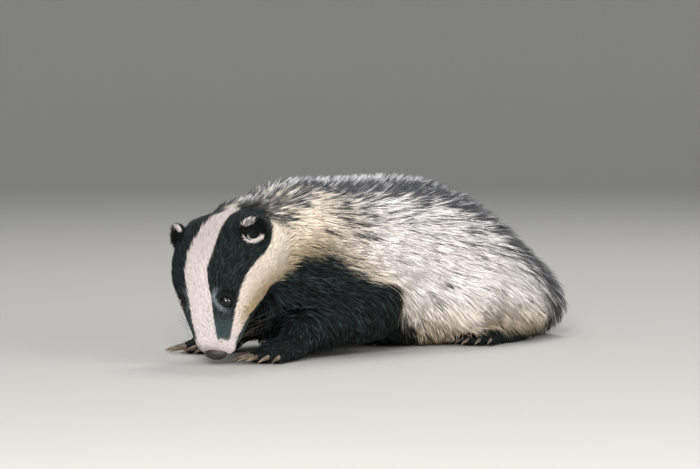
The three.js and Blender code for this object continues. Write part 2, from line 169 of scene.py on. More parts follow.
def eyeCentre(side):
    return np.array([side * eyeSize["side"], eyeSize["y"], eyeSize["z"]], float)


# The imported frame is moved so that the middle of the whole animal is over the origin
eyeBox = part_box("eye_left")
shift = fromHead(eyeCentre(1)) - 1000 * np.array((eyeBox[0] + eyeBox[1]) / 2)
shift[2] = 0


def toFrame(points):
    return (points - shift) / 1000


def through(values, t):
    # a smooth line through evenly spaced values: a Catmull-Rom cubic between each two
    v = np.asarray(values, float)
    last = len(v) - 1
    place = np.clip(t, 0, 1) * last
    i = np.minimum(place.astype(int), last - 1)
    u = place - i
    b, c = v[i], v[i + 1]
    a = np.where(i > 0, v[np.maximum(i - 1, 0)], 2 * b - c)
    d = np.where(i + 2 <= last, v[np.minimum(i + 2, last)], 2 * c - b)
    return b + 0.5 * u * (c - a + u * (2 * a - 5 * b + 4 * c - d + u * (3 * (b - c) + d - a)))


def tabulate(form):
    # adds fine tables of each column of a form against y, in rising order of y
    share = np.linspace(0, 1, 600)
    columns = {n: through([s[k] for s in form["stations"]], share) for k, n in enumerate(columnNames)}
    order = np.argsort(columns["y"])
    form["share"] = share[order]
    form["table"] = {n: v[order] for n, v in columns.items()}


for form in (trunk, head, jaw, tail):
    tabulate(form)


def column(form, name, y):
    return np.interp(y, form["table"]["y"], form["table"][name])


def formPlace(form, points):
    # where points lie about a form: share along it (past 0 and 1 beyond its ends), angle round it with 0 at
    # the left and a quarter turn at the top, and distance from the line of middles
    y = points[:, 1]
    ys, shares = form["table"]["y"], form["share"]
    t = np.interp(y, ys, shares)
    slope = (shares[-1] - shares[0]) / (ys[-1] - ys[0])
    t = t + slope * (y - np.clip(y, ys[0], ys[-1]))
    across = points[:, 0] - column(form, "x", y)
    rise = points[:, 2] - column(form, "mid", y)
    return t, np.arctan2(rise, across), np.hypot(across, rise)


def formDistance(form, points, share):
    # how far points are outside a form: distance from the middle over the section's reach, joined as a root
    # of squares with how far they are into a rounded end, less 1, times the reach, plus the skin's depth in
    # the coat
    t, angle, radial = formPlace(form, points)
    y = points[:, 1]
    c, s = np.abs(np.cos(angle)), np.sin(angle)
    vertical = np.where(s >= 0, column(form, "up", y), column(form, "down", y))
    power = form["power"]
    reach = ((c / column(form, "half", y)) ** power + (np.abs(s) / vertical) ** power) ** (-1 / power)
    for at, turn, height, length, width in form["bulges"]:
        fall = np.exp(-(((y - at) / length) ** 2))
        for turned in (angle - turn, np.pi - angle - turn):
            away = np.arctan2(np.sin(turned), np.cos(turned))
            reach = reach + height * fall * np.exp(-((away / width) ** 2))
    near = np.maximum(1 - t / form["caps"][0], 0)
    end = np.maximum(1 - (1 - t) / form["caps"][1], 0)
    depth = column(form, "coat", y) * share * (1 - skin["thinUnder"] * np.maximum(0, -s))
    return (np.sqrt((radial / reach) ** 2 + near**2 + end**2) - 1) * reach + depth


def limbDistance(points, a, b, radii, depth=0):
    # how far points are outside a round limb from a to b whose radius changes evenly
    a, b = np.array(a, float), np.array(b, float)
    share = np.clip((points - a) @ (b - a) / ((b - a) @ (b - a)), 0, 1)
    gap = points - a - share[:, None] * (b - a)
    return np.linalg.norm(gap, axis=1) - radii[0] - share * (radii[1] - radii[0]) + depth


def ellipsoidDistance(points, centre, radii, depth=0):
    # distance outside an ellipsoid, to first order
    q = points - np.array(centre, float)
    k = np.linalg.norm(q / np.array(radii, float), axis=1)
    grade = np.linalg.norm(q / np.array(radii, float) ** 2, axis=1)
    return k * (k - 1) / np.maximum(grade, 1e-6) + depth


def blendIn(a, b, soft):
    # the nearer of two distances, with a smooth fillet where they are alike
    share = np.clip(0.5 + 0.5 * (b - a) / soft, 0, 1)
    return b * (1 - share) + a * share - soft * share * (1 - share)


def legSet(side):
    forward = 30 if side > 0 else 0
    return {
        "elbow": (side * 70 + 7, -112, 47),
        "wrist": (side * 68 + 10, -186 - forward, 26),
        "forePlace": (side * 67 + 10, -214 - forward),
        "foreTurn": side * 0.12,
        "knee": (side * 78, 44, 48),
        "heel": (side * 75, 140, 22),
        "hindPlace": (side * 79, 90),
        "hindTurn": side * 0.14,
    }


def pawFrame(points, place, turn):
    # points of a paw's own frame, with its toes along -y, set on the floor at place and turned about z
    return points @ turnAbout("z", np.degrees(turn)).T + np.array([place[0], place[1], 0])


toeShape = {
    "fan": 0.17,  # radians between one toe and the next
    "wide": 1.9,  # the roots' spread, over the paw's half width
    "ahead": 0.28,  # the roots' place and the toes' reach, as shares of the paw's length
    "reach": 0.36,
    "arch": (3, 2.5),  # how much the outer toes stand back, and how much shorter they are
    "rise": (1, -0.8),  # of the root and the tip over the toe's radius
    "taper": 0.86,
}


def toesOf(size):
    # root, tip and fan angle of each of the five toes in the paw's own frame
    t = toeShape
    order = np.arange(5) - 2
    fan = order * t["fan"]
    ahead = -size["length"] * t["ahead"] + t["arch"][0] * abs(order)
    root = np.stack([np.sin(fan) * size["half"] * t["wide"], ahead], 1)
    reach = size["length"] * t["reach"] - t["arch"][1] * abs(order)
    tip = root + np.stack([np.sin(fan), -np.cos(fan)], 1) * reach[:, None]
    rootPoints, tipPoints = (
        np.column_stack([at, np.full(5, size["toe"] + rise)]) for at, rise in zip((root, tip), t["rise"])
    )
    return rootPoints, tipPoints, fan


def pawDistance(points, size, place, turn):
    # how far points are outside a paw: a flat round palm, and its toes joined to it
    palm = pawFrame(np.array([[0, size["length"] * 0.1, 12]]), place, turn)[0]
    local = (points - palm) @ turnAbout("z", np.degrees(turn))
    palmRadii = (size["half"], size["length"] * 0.62, 13)
    found = ellipsoidDistance(local, (0, 0, 0), palmRadii, skin["pawDepth"])
    roots, tips, _ = toesOf(size)
    radii = (size["toe"], size["toe"] * toeShape["taper"])
    for a, b in zip(pawFrame(roots, place, turn), pawFrame(tips, place, turn)):
        found = blendIn(found, limbDistance(points, a, b, radii, skin["pawDepth"]), 2.5)
    return found


# A leg's two ends and its radii there, or a paw's size and place; how softly it joins the rest, and where in
# y it can reach
limbs = {
    "foreleg": {"ends": ("elbow", "wrist"), "radii": (34, 21), "soft": 24, "y": (-330, -20)},
    "hindleg": {"ends": ("knee", "heel"), "radii": (29, 17), "soft": 20, "y": (-40, 230)},
    "forepaw": {"size": forePaw, "set": ("forePlace", "foreTurn"), "soft": 8, "y": (-360, -130)},
    "hindpaw": {"size": hindPaw, "set": ("hindPlace", "hindTurn"), "soft": 8, "y": (-20, 220)},
}


def limbPart(name, side):
    # a leg or paw of one side as a part
    limb, leg = limbs[name], legSet(side)

    def distance(points):
        if "ends" in limb:
            a, b = (leg[end] for end in limb["ends"])
            return limbDistance(points, a, b, limb["radii"], skin["legDepth"])
        return pawDistance(points, limb["size"], *(leg[key] for key in limb["set"]))

    box = {"x": (-10, 260) if side > 0 else (-260, 10), "y": limb["y"]}
    return {"name": name, "side": side, "distance": distance, "soft": limb["soft"], **box}


def formPart(name, form, share, soft, inHead=False, **box):
    # a form of sections as a part, with its skin a share of the coat's depth inside it
    def distance(points):
        return formDistance(form, toHead(points) if inHead else points, skin[share])

    return {"name": name, "distance": distance, "soft": soft, **box}


# Each part: its name, how its distance is worked out, how softly it joins the rest, and the box it can reach
parts = [
    formPart("trunk", trunk, "trunkShare", 0),
    formPart("tail", tail, "tailShare", 14, y=(150, 400)),
    *(limbPart(name, side) for side in (1, -1) for name in limbs),
    formPart("head", head, "faceShare", 18, True, y=(-420, -190)),
    formPart("jaw", jaw, "faceShare", 3, True, y=(-420, -190)),
]


def partDistances(points):
    # one column for each part: how far each point is outside it
    found = np.full((len(points), len(parts)), float(skin["far"]))
    for k, part in enumerate(parts):
        near = np.ones(len(points), bool)
        for n, axis in enumerate("xyz"):
            if axis in part:
                near &= (points[:, n] > part[axis][0]) & (points[:, n] < part[axis][1])
        if near.any():
            found[near, k] = np.minimum(part["distance"](points[near]), skin["far"])
    return found


def bodyDistance(points):
    # all parts joined one after another, with the soles cut flat just over the floor
    each = partDistances(points)
    headAndJaw = blendIn(each[:, -2], each[:, -1], parts[-1]["soft"])
    whole = each[:, 0]
    for k, part in enumerate(parts[1:-2], 1):
        whole = blendIn(whole, each[:, k], part["soft"])
    whole = blendIn(whole, headAndJaw, parts[-2]["soft"])
    return np.maximum(whole, skin["sole"] - points[:, 2])


def bodyGrid():
    # the body's distance on a regular grid, evened out so that it grows by 1 for each millimetre near the
    # skin, and its slope
    step = skin["cell"]
    low = np.array(skin["low"])
    high = np.array(skin["high"])
    counts = np.ceil((high - low) / step).astype(int) + 1
    axes = [low[n] + step * np.arange(counts[n]) for n in range(3)]
    points = np.stack(np.meshgrid(*axes, indexing="ij"), -1).reshape(-1, 3)
    values = bodyDistance(points).reshape(counts)
    slope = np.stack(np.gradient(values, step), -1)
    steepness = np.clip(np.linalg.norm(slope, axis=-1), *skin["steepness"])
    values = values / steepness
    slope = np.stack(np.gradient(values, step), -1)
    fields = np.concatenate([values[..., None], slope], -1)
    return {"low": low, "step": step, "values": values, "fields": fields}


def readGrid(grid, points):
    # the grid's distance and unit slope at points, as means of the eight corners round each
    place = (points - grid["low"]) / grid["step"]
    most = np.array(grid["values"].shape) - 2
    corner = np.clip(np.floor(place).astype(int), 0, most)
    share = np.clip(place - corner, 0, 1)
    found = np.zeros((len(points), 4))
    for dx in (0, 1):
        for dy in (0, 1):
            for dz in (0, 1):
                picked = np.array([dx, dy, dz])
                weight = np.prod(np.where(picked, share, 1 - share), axis=1)
                i, j, k = (corner + picked).T
                found += weight[:, None] * grid["fields"][i, j, k]
    slope = found[:, 1:]
    return found[:, 0], slope / np.maximum(np.linalg.norm(slope, axis=1), 1e-6)[:, None]


def surfaceNet(grid):
    # the surface where the grid's values are 0: one point in each cell that it crosses, the mean of the
    # crossings of the cell's edges, and a square face round each edge that it crosses
    values, step = grid["values"], grid["step"]
    shape = np.array(values.shape)
    cells, places, faces = [], [], []
    for axis in range(3):
        first = np.take(values, range(shape[axis] - 1), axis)
        second = np.take(values, range(1, shape[axis]), axis)
        edge = np.argwhere((first < 0) != (second < 0))
        at = tuple(edge.T)
        place = edge.astype(float)
        place[:, axis] += first[at] / (first[at] - second[at])
        others = [n for n in range(3) if n != axis]
        around = []
        for back in ((0, 0), (1, 0), (1, 1), (0, 1)):
            cell = edge.copy()
            cell[:, others] -= back
            around.append(np.ravel_multi_index(cell.T, shape))
            cells.append(around[-1])
            places.append(place)
        square = np.stack(around, 1)
        outward = (first[at] < 0) != (axis == 1)
        faces.append(np.where(outward[:, None], square, square[:, ::-1]))
    ids, inverse = np.unique(np.concatenate(cells), return_inverse=True)
    places = np.concatenate(places)
    count = np.bincount(inverse)
    points = np.stack([np.bincount(inverse, places[:, n]) / count for n in range(3)], 1)
    return grid["low"] + step * points, np.searchsorted(ids, np.concatenate(faces))


grid = bodyGrid()
skinPoints, skinFaces = surfaceNet(grid)
print("skin:", len(skinPoints), "points,", len(skinFaces), "faces")


def settle(points, rounds=2):
    # moves points straight onto the skin
    for _ in range(rounds):
        distance, out = readGrid(grid, points)
        points = points - out * distance[:, None]
    return points


skinPoints = settle(skinPoints)


def tube(rows, around, closed=False):
    # quads between rows of points, each row wrapping round, and the last row joined to the first when closed
    i, j = np.meshgrid(np.arange(rows if closed else rows - 1), np.arange(around), indexing="ij")
    here, up, on = i * around, (i + 1) % rows * around, (j + 1) % around
    return np.stack([here + j, here + on, up + on, up + j], -1).reshape(-1, 4)


def turns(count):
    # angles once round
    return np.linspace(0, 2 * np.pi, count, endpoint=False)


def gathered(x, y, z):
    # one list of points from tables of their coordinates
    return np.stack(np.broadcast_arrays(x, y, z), -1).reshape(-1, 3)


def unit(v):
    return v / np.maximum(np.linalg.norm(v, axis=-1, keepdims=True), 1e-9)


def axesAlong(look, up=(0, 0.4, 1)):
    # three unit axes, the last along look and the second as near up as can be
    look = unit(np.array(look, float))
    across = unit(np.cross(np.array(up, float), look))
    return np.stack([across, np.cross(look, across), look])


nearlyNothing = 0.002  # radius of a pole, so that its faces are never empty
earShape = {
    "place": (46.8, -5.2, 19),  # in the head's frame, for the left ear
    "aside": (7, 2.5),  # how much further left both ears lie, and the left one back, as the neck bends
    "opening": (0.55, -0.35, 0.76),  # the way that the cup faces
    "outer": (12, 12, 8),  # half width, half height and depth
    "hollow": 0.8,  # of the outer size
    "backTop": 0.35,  # angle in radians to which the back is round
    "edge": (0.9, 0.84),  # radius of the rim's top, over which the profile turns in
    "rim": 2.4,  # height of the rim over the ear's middle
    "edgeHeight": (1.05, 0.95),  # shares of the rim's height
    "brim": 0.6,  # where the hollow begins, as a share of that height
    "floor": -2.5,  # depth of the hollow
    "waver": 0.06,  # how far its outline leaves the round
    "around": 40,
    "rows": 14,
}


def earPlace(side):
    # the middle of an ear in the head's frame
    x, y, z = earShape["place"]
    across, back = earShape["aside"]
    return np.array([side * x + across, y + side * back, z], float)


def earAxes(side):
    return axesAlong(earShape["opening"] * np.array([side, 1, 1]))


def earSurface(side):
    # a cup: its profile runs from the pole behind up to the rim, over it and down into the hollow
    e = earShape
    place = earPlace(side)
    axes = earAxes(side)
    turn = turns(e["around"])
    back = np.linspace(-np.pi / 2, e["backTop"], e["rows"])
    fall = np.linspace(0, np.pi / 2, e["rows"])
    radius = np.concatenate([np.cos(back), e["edge"], e["hollow"] * np.cos(fall)])
    brim = e["rim"] * e["brim"]
    inside = brim + (e["floor"] - brim) * np.sin(fall)
    height = np.concatenate([e["outer"][2] * np.sin(back), e["rim"] * np.array(e["edgeHeight"]), inside])
    radius[[0, -1]] = nearlyNothing
    wave = 1 + e["waver"] * np.cos(3 * turn + 0.6)
    flat = radius[:, None] * wave
    wide, tall, _ = e["outer"]
    local = gathered(flat * wide * np.cos(turn), flat * tall * np.sin(turn), height[:, None])
    return fromHead(local @ axes + place), tube(len(radius), e["around"])


lidShape = {
    "wide": 1.06,  # half sizes of the opening, as shares of the eye's radius
    "upper": 0.97,
    "lower": 0.92,
    "corner": 0.3,  # how much further the corner at the nose reaches
    "spread": (1.7, 1.45, 1.26, 1.12, 1.03, 0.98, 0.97, 1.02, 1.3),  # the profile, over the opening's size
    "lift": (-5.0, -2.2, -0.2, 0.7, 0.75, 0.35, -0.4, -2.0, -5.0),  # and over the eyeball
    "gap": 0.15,  # between the lid and the eyeball
    "look": (0.55, -0.4, 0.73),
    "turn": 48,  # degrees by which the opening's long way rises from that corner
    "around": 44,
}


def lidSurface(side):
    # a ring round the eye: a profile carried along an almond, from under the skin up to the lid's edge, over
    # it and back in behind the eyeball's surface
    look = axesAlong(lidShape["look"] * np.array([side, 1, 1]))
    r = eyeSize["radius"]
    turn = turns(lidShape["around"])
    tall = np.where(np.sin(turn) > 0, lidShape["upper"], lidShape["lower"])
    wide = lidShape["wide"] + lidShape["corner"] * np.maximum(0, -np.cos(turn)) ** 5
    almond = r * np.stack([wide * np.cos(turn), tall * np.sin(turn)], -1)
    almond = almond @ turnAbout("z", lidShape["turn"])[:2, :2].T * np.array([side, 1])
    spread = np.array(lidShape["spread"])
    lift = np.array(lidShape["lift"])
    flat = spread[:, None, None] * almond
    within = np.minimum(spread, 1)[:, None, None] * almond
    onBall = np.sqrt(np.maximum((r + lidShape["gap"]) ** 2 - np.sum(within**2, -1), 0))
    local = np.concatenate([flat, (onBall + lift[:, None])[..., None]], -1)
    points = fromHead(local.reshape(-1, 3) @ look + eyeCentre(side))
    return points, tube(len(spread), lidShape["around"], closed=True)


def facesOut(points, faces):
    # turns a closed surface's faces round where they would point inwards, from the sign of its volume
    a, b, c, d = ((points - points.mean(0))[faces[:, k]] for k in (0, 1, 2, -1))
    volume = np.sum(a * np.cross(b, c)) + np.sum(a * np.cross(c, d))
    return faces if volume > 0 else faces[:, ::-1]


def joinSurfaces(surfaces):
    points, faces, start = [], [], 0
    for p, f in surfaces:
        points.append(p)
        faces.append(facesOut(p, f) + start)
        start += len(p)
    return np.concatenate(points), np.concatenate(faces)


# Where the coat's colours change, as values at places in y. The first four are in the head's frame: the
# white stripe's middle and half width in millimetres, and the lower edges of the eye band and the cheek in
# degrees up from the side. The rest are in the body's: the lower edges of the nape and the banded back in
# degrees up from the side, and the top of the black in millimetres over the floor.
markings = {
    "stripeMiddle": {
        "at": (-124, -96, -76, -49, -28, -3, 14, 34, 60),
        "value": (-1, -2, -1, -4, 1, 8, 15, 10, 5),
    },
    "stripeHalf": {
        "at": (-124, -96, -49, -28, -3, 20, 41, 58),
        "value": (12, 14, 14, 15.5, 12.5, 8, 4, -3),
    },
    "eyeBandLow": {
        "at": (-124, -103, -84, -64, -49, -32, -17, 8, 20),
        "value": (18, 18, 22, 24, 21, 12, 2, 0, -14),
    },
    "cheekLow": {
        "at": (-124, -111, -83, -68, -57, -46, -20, 10),
        "value": (-30, -6, -7, -15, -30, -46, -56, -60),
    },
    "napeLow": {
        "at": (-290, -262, -242, -222, -189, -160, -130),
        "value": (0, 12, 30, 46, 57, 60, 70),
    },
    "bandLow": {
        "at": (-200, -150, -63, 0, 75, 109, 160, 236),
        "value": (58, 57, 55, 53, 43, 32, 10, -16),
    },
    "blackTop": {
        "at": (-300, -262, -250, -240, -231, -192, -164, -137, -107, -75, -38, 0, 60, 236),
        "value": (100, 92, 86, 97, 107, 115, 102, 87, 70, 52, 31, 14, 8, 4),
    },
}
# Other edges of the coat's colours and lie: where each is, and the width over which it fades
edges = {
    "part": (0.5, 0.3),  # share of a part
    "headEnd": (26, 8),  # y in the head's frame
    "bandFront": (-113, 10),
    "throatFront": (-118, 8),
    "cheekFront": (-92, 30),
    "cheekCream": (-30, 50),
    "muzzle": (-98, 20),
    "stripeEnd": (60, 20),
    "slate": (-92, 22),
    "lips": (-30, 20),
    "creamNeck": (-172, 70),  # y in the body's frame
    "napeEnd": (-258, 40),
    "tanNeck": (-200, 40),
    "foreBody": (-60, 60),
    "lowShadeEnd": (-150, 60),
    "paleNeck": (-140, 60),
    "backFront": (-215, 40),
    "napeBack": (-140, 30),
    "rump": (152, 90),
    "rumpFall": (145, 170),
    "hindBody": (-90, 160),
    "crestFront": (-290, 60),
    "crestEnd": (215, 60),
    "skirtEnd": (190, 60),
    "chestFront": (-258, 30),
    "chestEnd": (-150, 50),
    "fringeNeck": (-120, 60),
    "lowFlank": (40, 60),  # height
    "lowCoat": (95, 100),
    "hindFoot": (6, 8),
    "patchLow": (0, 6),
    "lipsLow": (-20, 8),
    "tanOverBlack": (20, 34),  # height over the top of the black
    "lowShade": (13, 34),
    "stripeSide": (15, 20),  # degrees up from the side
    "napeTop": (76, 16),
    "belly": (-58, 20),
    "shoulderLow": (14, 40),
    "crest": (62, 34),
    "skirtTop": (-4, 30),
    "skirtLow": (-78, 30),
    "chestTop": (-52, 26),
    "thinBelly": (-50, 20),
    "back": (1, 24),  # degrees up from the banded back's lower edge
    "upperFlank": (-20, 40),
    "cheekTan": (0.62, 0.7),  # share of the way up the cheek
    "fullBand": (0.6, 0.4),  # strength of the dark bands
}
# The width over which the markings' own edges fade
fades = {
    "stripe": 3,
    "eyeBand": 5,
    "throat": 7,
    "nape": 10,
    "napeBand": 14,
    "blackCoat": 30,
    "black": {"at": (-240, -150), "value": (18, 38)},
}
# How strongly each shade or band shows, from 0 to 1
strengths = {
    "paleNape": 0.6,
    "flankTan": 0.9,
    "tanOverBlack": 0.55,
    "tanNeck": 0.3,
    "lowShade": 0.55,
    "shoulderTan": 0.45,
    "shoulderBand": 0.3,
    "leastBand": 0.02,
    "flankBand": 0.26,
    "paleNeck": 0.95,
    "rumpBand": 0.8,
    "napeBand": 0.85,
    "slate": 0.6,
    "leftPatch": 0.55,
    "rightPatch": 0.3,
}
shoulder = {"y": -148, "reach": 36}  # middle and reach of a darker, tanner place
hindHeel = {"y": 70, "slope": 0.2}  # behind y, the black of the hind foot reaches higher
eyePatch = {
    "bearing": -165,  # degrees round the eye from its outer side, towards the tail
    "half": 70,
    "fade": 60,
    "radius": 9.6,  # of a ring round the eye
    "ringHalf": 2,
    "ringFade": 2.4,
}
# Colours as display values from 0 to 1
colours = {
    "stripe": (0.82, 0.775, 0.76),
    "cheek": (0.84, 0.79, 0.75),
    "cheekTan": (0.63, 0.55, 0.43),
    "cream": (0.90, 0.85, 0.78),
    "silver": (0.96, 0.935, 0.92),
    "tan": (0.77, 0.69, 0.55),
    "black": (0.036, 0.054, 0.05),
    "slate": (0.24, 0.295, 0.30),
    "eyePatch": (0.50, 0.53, 0.56),
    "band": (0.08, 0.115, 0.165),
    "tip": (0.93, 0.92, 0.92),
    "tail": (0.82, 0.77, 0.69),
    "lips": (0.16, 0.13, 0.13),
    "lids": (0.06, 0.065, 0.07),
}


def linear(colour):
    c = np.array(colour, float)
    return np.where(c <= 0.04045, c / 12.92, ((c + 0.055) / 1.055) ** 2.4)


def along(table, place):
    return np.interp(place, table["at"], table["value"])


def markAt(name, y):
    return along(markings[name], y)


def softStep(value, width):
    # 0 to 1 as value goes from half a width under 0 to half a width over it
    s = np.clip(value / width + 0.5, 0, 1)
    return s * s * (3 - 2 * s)


def after(value, edge):
    # 0 to 1 as value passes one of the edges
    at, width = edges[edge]
    return softStep(value - at, width)


def before(value, edge):
    # 1 to 0 as value passes one of the edges
    at, width = edges[edge]
    return softStep(at - value, width)


def degreesApart(a, b):
    return np.abs((a - b + 180) % 360 - 180)


def between(random, limits, count):
    # seeded numbers spread evenly between two limits
    return limits[0] + (limits[1] - limits[0]) * random.random(count)


def mix(a, b, share):
    return a + (b - a) * np.asarray(share)[..., None]


def bodyPlace(points):
    # what the markings and the coat need to know of points: their share of each part, their place and angle
    # in the head's frame, and their angle round the trunk, which fold gives in degrees up from either side
    each = partDistances(points)
    share = np.exp(-(each - each.min(1, keepdims=True)) / skin["mixing"])
    share /= share.sum(1, keepdims=True)
    names = np.array([p["name"] for p in parts])
    inHead = toHead(points)
    headRise = inHead[:, 2] - column(head, "mid", inHead[:, 1])
    _, trunkAngle, _ = formPlace(trunk, points)
    return {
        "points": points,
        "part": each.argmin(1),
        "share": share,
        "of": lambda *wanted: share[:, np.isin(names, wanted)].sum(1),
        "head": inHead,
        "headAngle": np.degrees(np.arctan2(headRise, np.abs(inHead[:, 0]))),
        "trunkAngle": trunkAngle,
        "fold": np.degrees(np.arctan2(np.sin(trunkAngle), np.abs(np.cos(trunkAngle)))),
    }


def paleColours(place, stripe, isHead, onShoulder):
    # the colour of the pale hair: silver, turning cream towards the neck and tan low down, at the shoulder
    # and over the black, with painted shade darkening it just over the black at the front, and on the head
    # the colours of the cheek, the stripe and the muzzle
    y, z = place["points"][:, 1], place["points"][:, 2]
    hy, angle = place["head"][:, 1], place["headAngle"]
    shades = {name: linear(colour) for name, colour in colours.items()}
    overBlack = z - markAt("blackTop", y)
    pale = mix(shades["silver"], shades["cream"], before(y, "creamNeck"))
    pale = mix(pale, shades["tan"], strengths["flankTan"] * before(z, "lowFlank") * after(y, "foreBody"))
    nearBlack = before(overBlack, "tanOverBlack") * before(y, "foreBody")
    tanShare = strengths["tanOverBlack"] + strengths["tanNeck"] * before(y, "tanNeck")
    pale = mix(pale, shades["tan"], tanShare * nearBlack)
    # painted shade: the pale hair darkened just over the black at the front, under the head and neck
    lowShade = before(overBlack, "lowShade") * before(y, "lowShadeEnd")
    pale = pale * (1 - strengths["lowShade"] * lowShade)[:, None]
    pale = mix(pale, shades["tan"], strengths["shoulderTan"] * onShoulder)
    pale = mix(pale, shades["tail"], place["of"]("tail"))
    cheekFrom, cheekTo = markAt("cheekLow", hy), markAt("eyeBandLow", hy)
    upCheek = (angle - cheekFrom) / np.maximum(cheekTo - cheekFrom, 10)
    face = mix(shades["cheek"], shades["cheekTan"], before(upCheek, "cheekTan") * after(hy, "cheekFront"))
    face = mix(face, shades["cream"], after(hy, "cheekCream"))
    face = mix(face, shades["stripe"], np.maximum(stripe, before(hy, "muzzle")))
    pale = mix(pale, face, isHead)
    return mix(pale, shades["stripe"], stripe * (1 - isHead) * before(hy, "stripeEnd"))


def darkColours(place, isHead):
    # the colour of the dark hair: black, slate towards the nose, and paler at the eye's inner side
    hx, hy, hz = place["head"].T
    black = np.tile(linear(colours["black"]), (len(hy), 1))
    dark = mix(black, linear(colours["slate"]), strengths["slate"] * isHead * before(hy, "slate"))
    aside, ahead = np.abs(hx) - eyeSize["side"], hy - eyeSize["y"]
    bearing = np.degrees(np.arctan2(ahead, aside))
    offRing = np.abs(np.hypot(aside, ahead) - eyePatch["radius"])
    patch = softStep(eyePatch["half"] - degreesApart(bearing, eyePatch["bearing"]), eyePatch["fade"])
    patch *= softStep(eyePatch["ringHalf"] - offRing, eyePatch["ringFade"])
    patch *= np.where(hx > 0, strengths["leftPatch"], strengths["rightPatch"])
    return mix(dark, linear(colours["eyePatch"]), patch * isHead * after(hz, "patchLow"))


def coatColours(place):
    # the colours of the pale and of the dark hair, how black the coat is, and how strong the dark band near
    # the tip of a pale hair is: steps from 0 to 1 across the edges, multiplied, or the greatest of several
    y, z = place["points"][:, 1], place["points"][:, 2]
    hx, hy = place["head"][:, 0], place["head"][:, 1]
    angle, fold = place["headAngle"], place["fold"]
    isHead = after(place["of"]("head", "jaw"), "part") * before(hy, "headEnd")
    fromStripe = np.abs(hx - markAt("stripeMiddle", hy))
    stripe = softStep(markAt("stripeHalf", hy) - fromStripe, fades["stripe"]) * after(angle, "stripeSide")
    band = softStep(angle - markAt("eyeBandLow", hy), fades["eyeBand"]) * after(hy, "bandFront")
    throat = softStep(markAt("cheekLow", hy) - angle, fades["throat"]) * after(hy, "throatFront")
    headBlack = np.maximum(band * (1 - stripe), throat)
    overNape = fold - markAt("napeLow", y)
    nape = softStep(overNape, fades["nape"]) * before(y, "napeEnd")
    nape *= 1 - strengths["paleNape"] * after(fold, "napeTop")
    lowBlack = softStep(markAt("blackTop", y) - z, along(fades["black"], y))
    bodyBlack = np.maximum.reduce([nape * (1 - stripe), lowBlack, before(fold, "belly")])
    overFoot = z - hindHeel["slope"] * np.maximum(y - hindHeel["y"], 0)
    legs = place["of"]("foreleg", "forepaw", "hindpaw")
    legs = legs + place["of"]("hindleg") * before(overFoot, "hindFoot")
    bodyBlack = np.maximum(bodyBlack, after(legs, "part"))
    black = headBlack * isHead + bodyBlack * (1 - isHead)
    fromShoulder = (y - shoulder["y"]) / shoulder["reach"]
    onShoulder = np.exp(-(fromShoulder**2)) * after(fold, "shoulderLow")
    overBand = fold - markAt("bandLow", y)
    banded = strengths["leastBand"] + strengths["flankBand"] * after(overBand, "upperFlank")
    banded *= 1 - strengths["paleNeck"] * before(y, "paleNeck")
    banded = banded + strengths["shoulderBand"] * onShoulder
    banded = np.maximum(banded, after(overBand, "back") * after(y, "backFront"))
    banded = np.maximum(banded, strengths["rumpBand"] * after(y, "rump"))
    onNape = softStep(overNape, fades["napeBand"]) * before(y, "napeBack")
    banded = np.maximum(banded, strengths["napeBand"] * onNape)
    banded *= (1 - isHead) * (1 - place["of"]("tail"))
    return paleColours(place, stripe, isHead, onShoulder), darkColours(place, isHead), black, banded


eyes = {s: fromHead(eyeCentre(s)) for s in (-1, 1)}
earsAndLids = [earSurface(1), earSurface(-1), lidSurface(1), lidSurface(-1)]
wholeSkin, wholeFaces = joinSurfaces([(skinPoints, skinFaces), *earsAndLids])


def triangulated(faces):
    return np.concatenate([faces[:, [0, 1, 2]], faces[:, [0, 2, 3]]])


def makeMesh(name, points, faces, colour=None, uv=None):
    # a smooth mesh object of triangles or quads, with its colours at its points and its map at its corners
    mesh = bpy.data.meshes.new(name)
    sides = faces.shape[1]
    mesh.vertices.add(len(points))
    mesh.vertices.foreach_set("co", toFrame(points).astype(np.float32).ravel())
    mesh.loops.add(faces.size)
    mesh.loops.foreach_set("vertex_index", faces.astype(np.int32).ravel())
    mesh.polygons.add(len(faces))
    mesh.polygons.foreach_set("loop_start", np.arange(0, faces.size, sides, dtype=np.int32))
    mesh.polygons.foreach_set("use_smooth", np.ones(len(faces), bool))
    mesh.update()
    if colour is not None:
        opaque = np.column_stack([colour, np.ones(len(colour))])
        layer = mesh.attributes.new("coatColour", "FLOAT_COLOR", "POINT")
        layer.data.foreach_set("color", opaque.astype(np.float32).ravel())
    if uv is not None:
        layer = mesh.uv_layers.new(name="OFBake")
        layer.data.foreach_set("uv", uv[faces.ravel()].astype(np.float32).ravel())
    return addObject(name, mesh)


def addObject(name, data):
    made = bpy.data.objects.new(name, data)
    bpy.context.scene.collection.objects.link(made)
    return made


# How the coat lies on the legs and feet, and how far it turns down on the trunk
lies = {
    "foreleg": (0, 0.25, -0.8),
    "hindleg": (0, 0.7, -0.6),
    "forepaw": (0, -1, -0.35),
    "hindpaw": (0, -1, -0.35),
}
fallShares = {"everywhere": 0.05, "sides": 0.3, "lowDown": 0.65, "rump": 1.1}
headFlow = {"aside": 0.3, "down": 0.25, "jaw": 0.3}
tailFlow = {"step": 8, "back": 0.5}


def tailMiddle(y):
    return np.stack([column(tail, "x", y), y, column(tail, "mid", y)], -1)


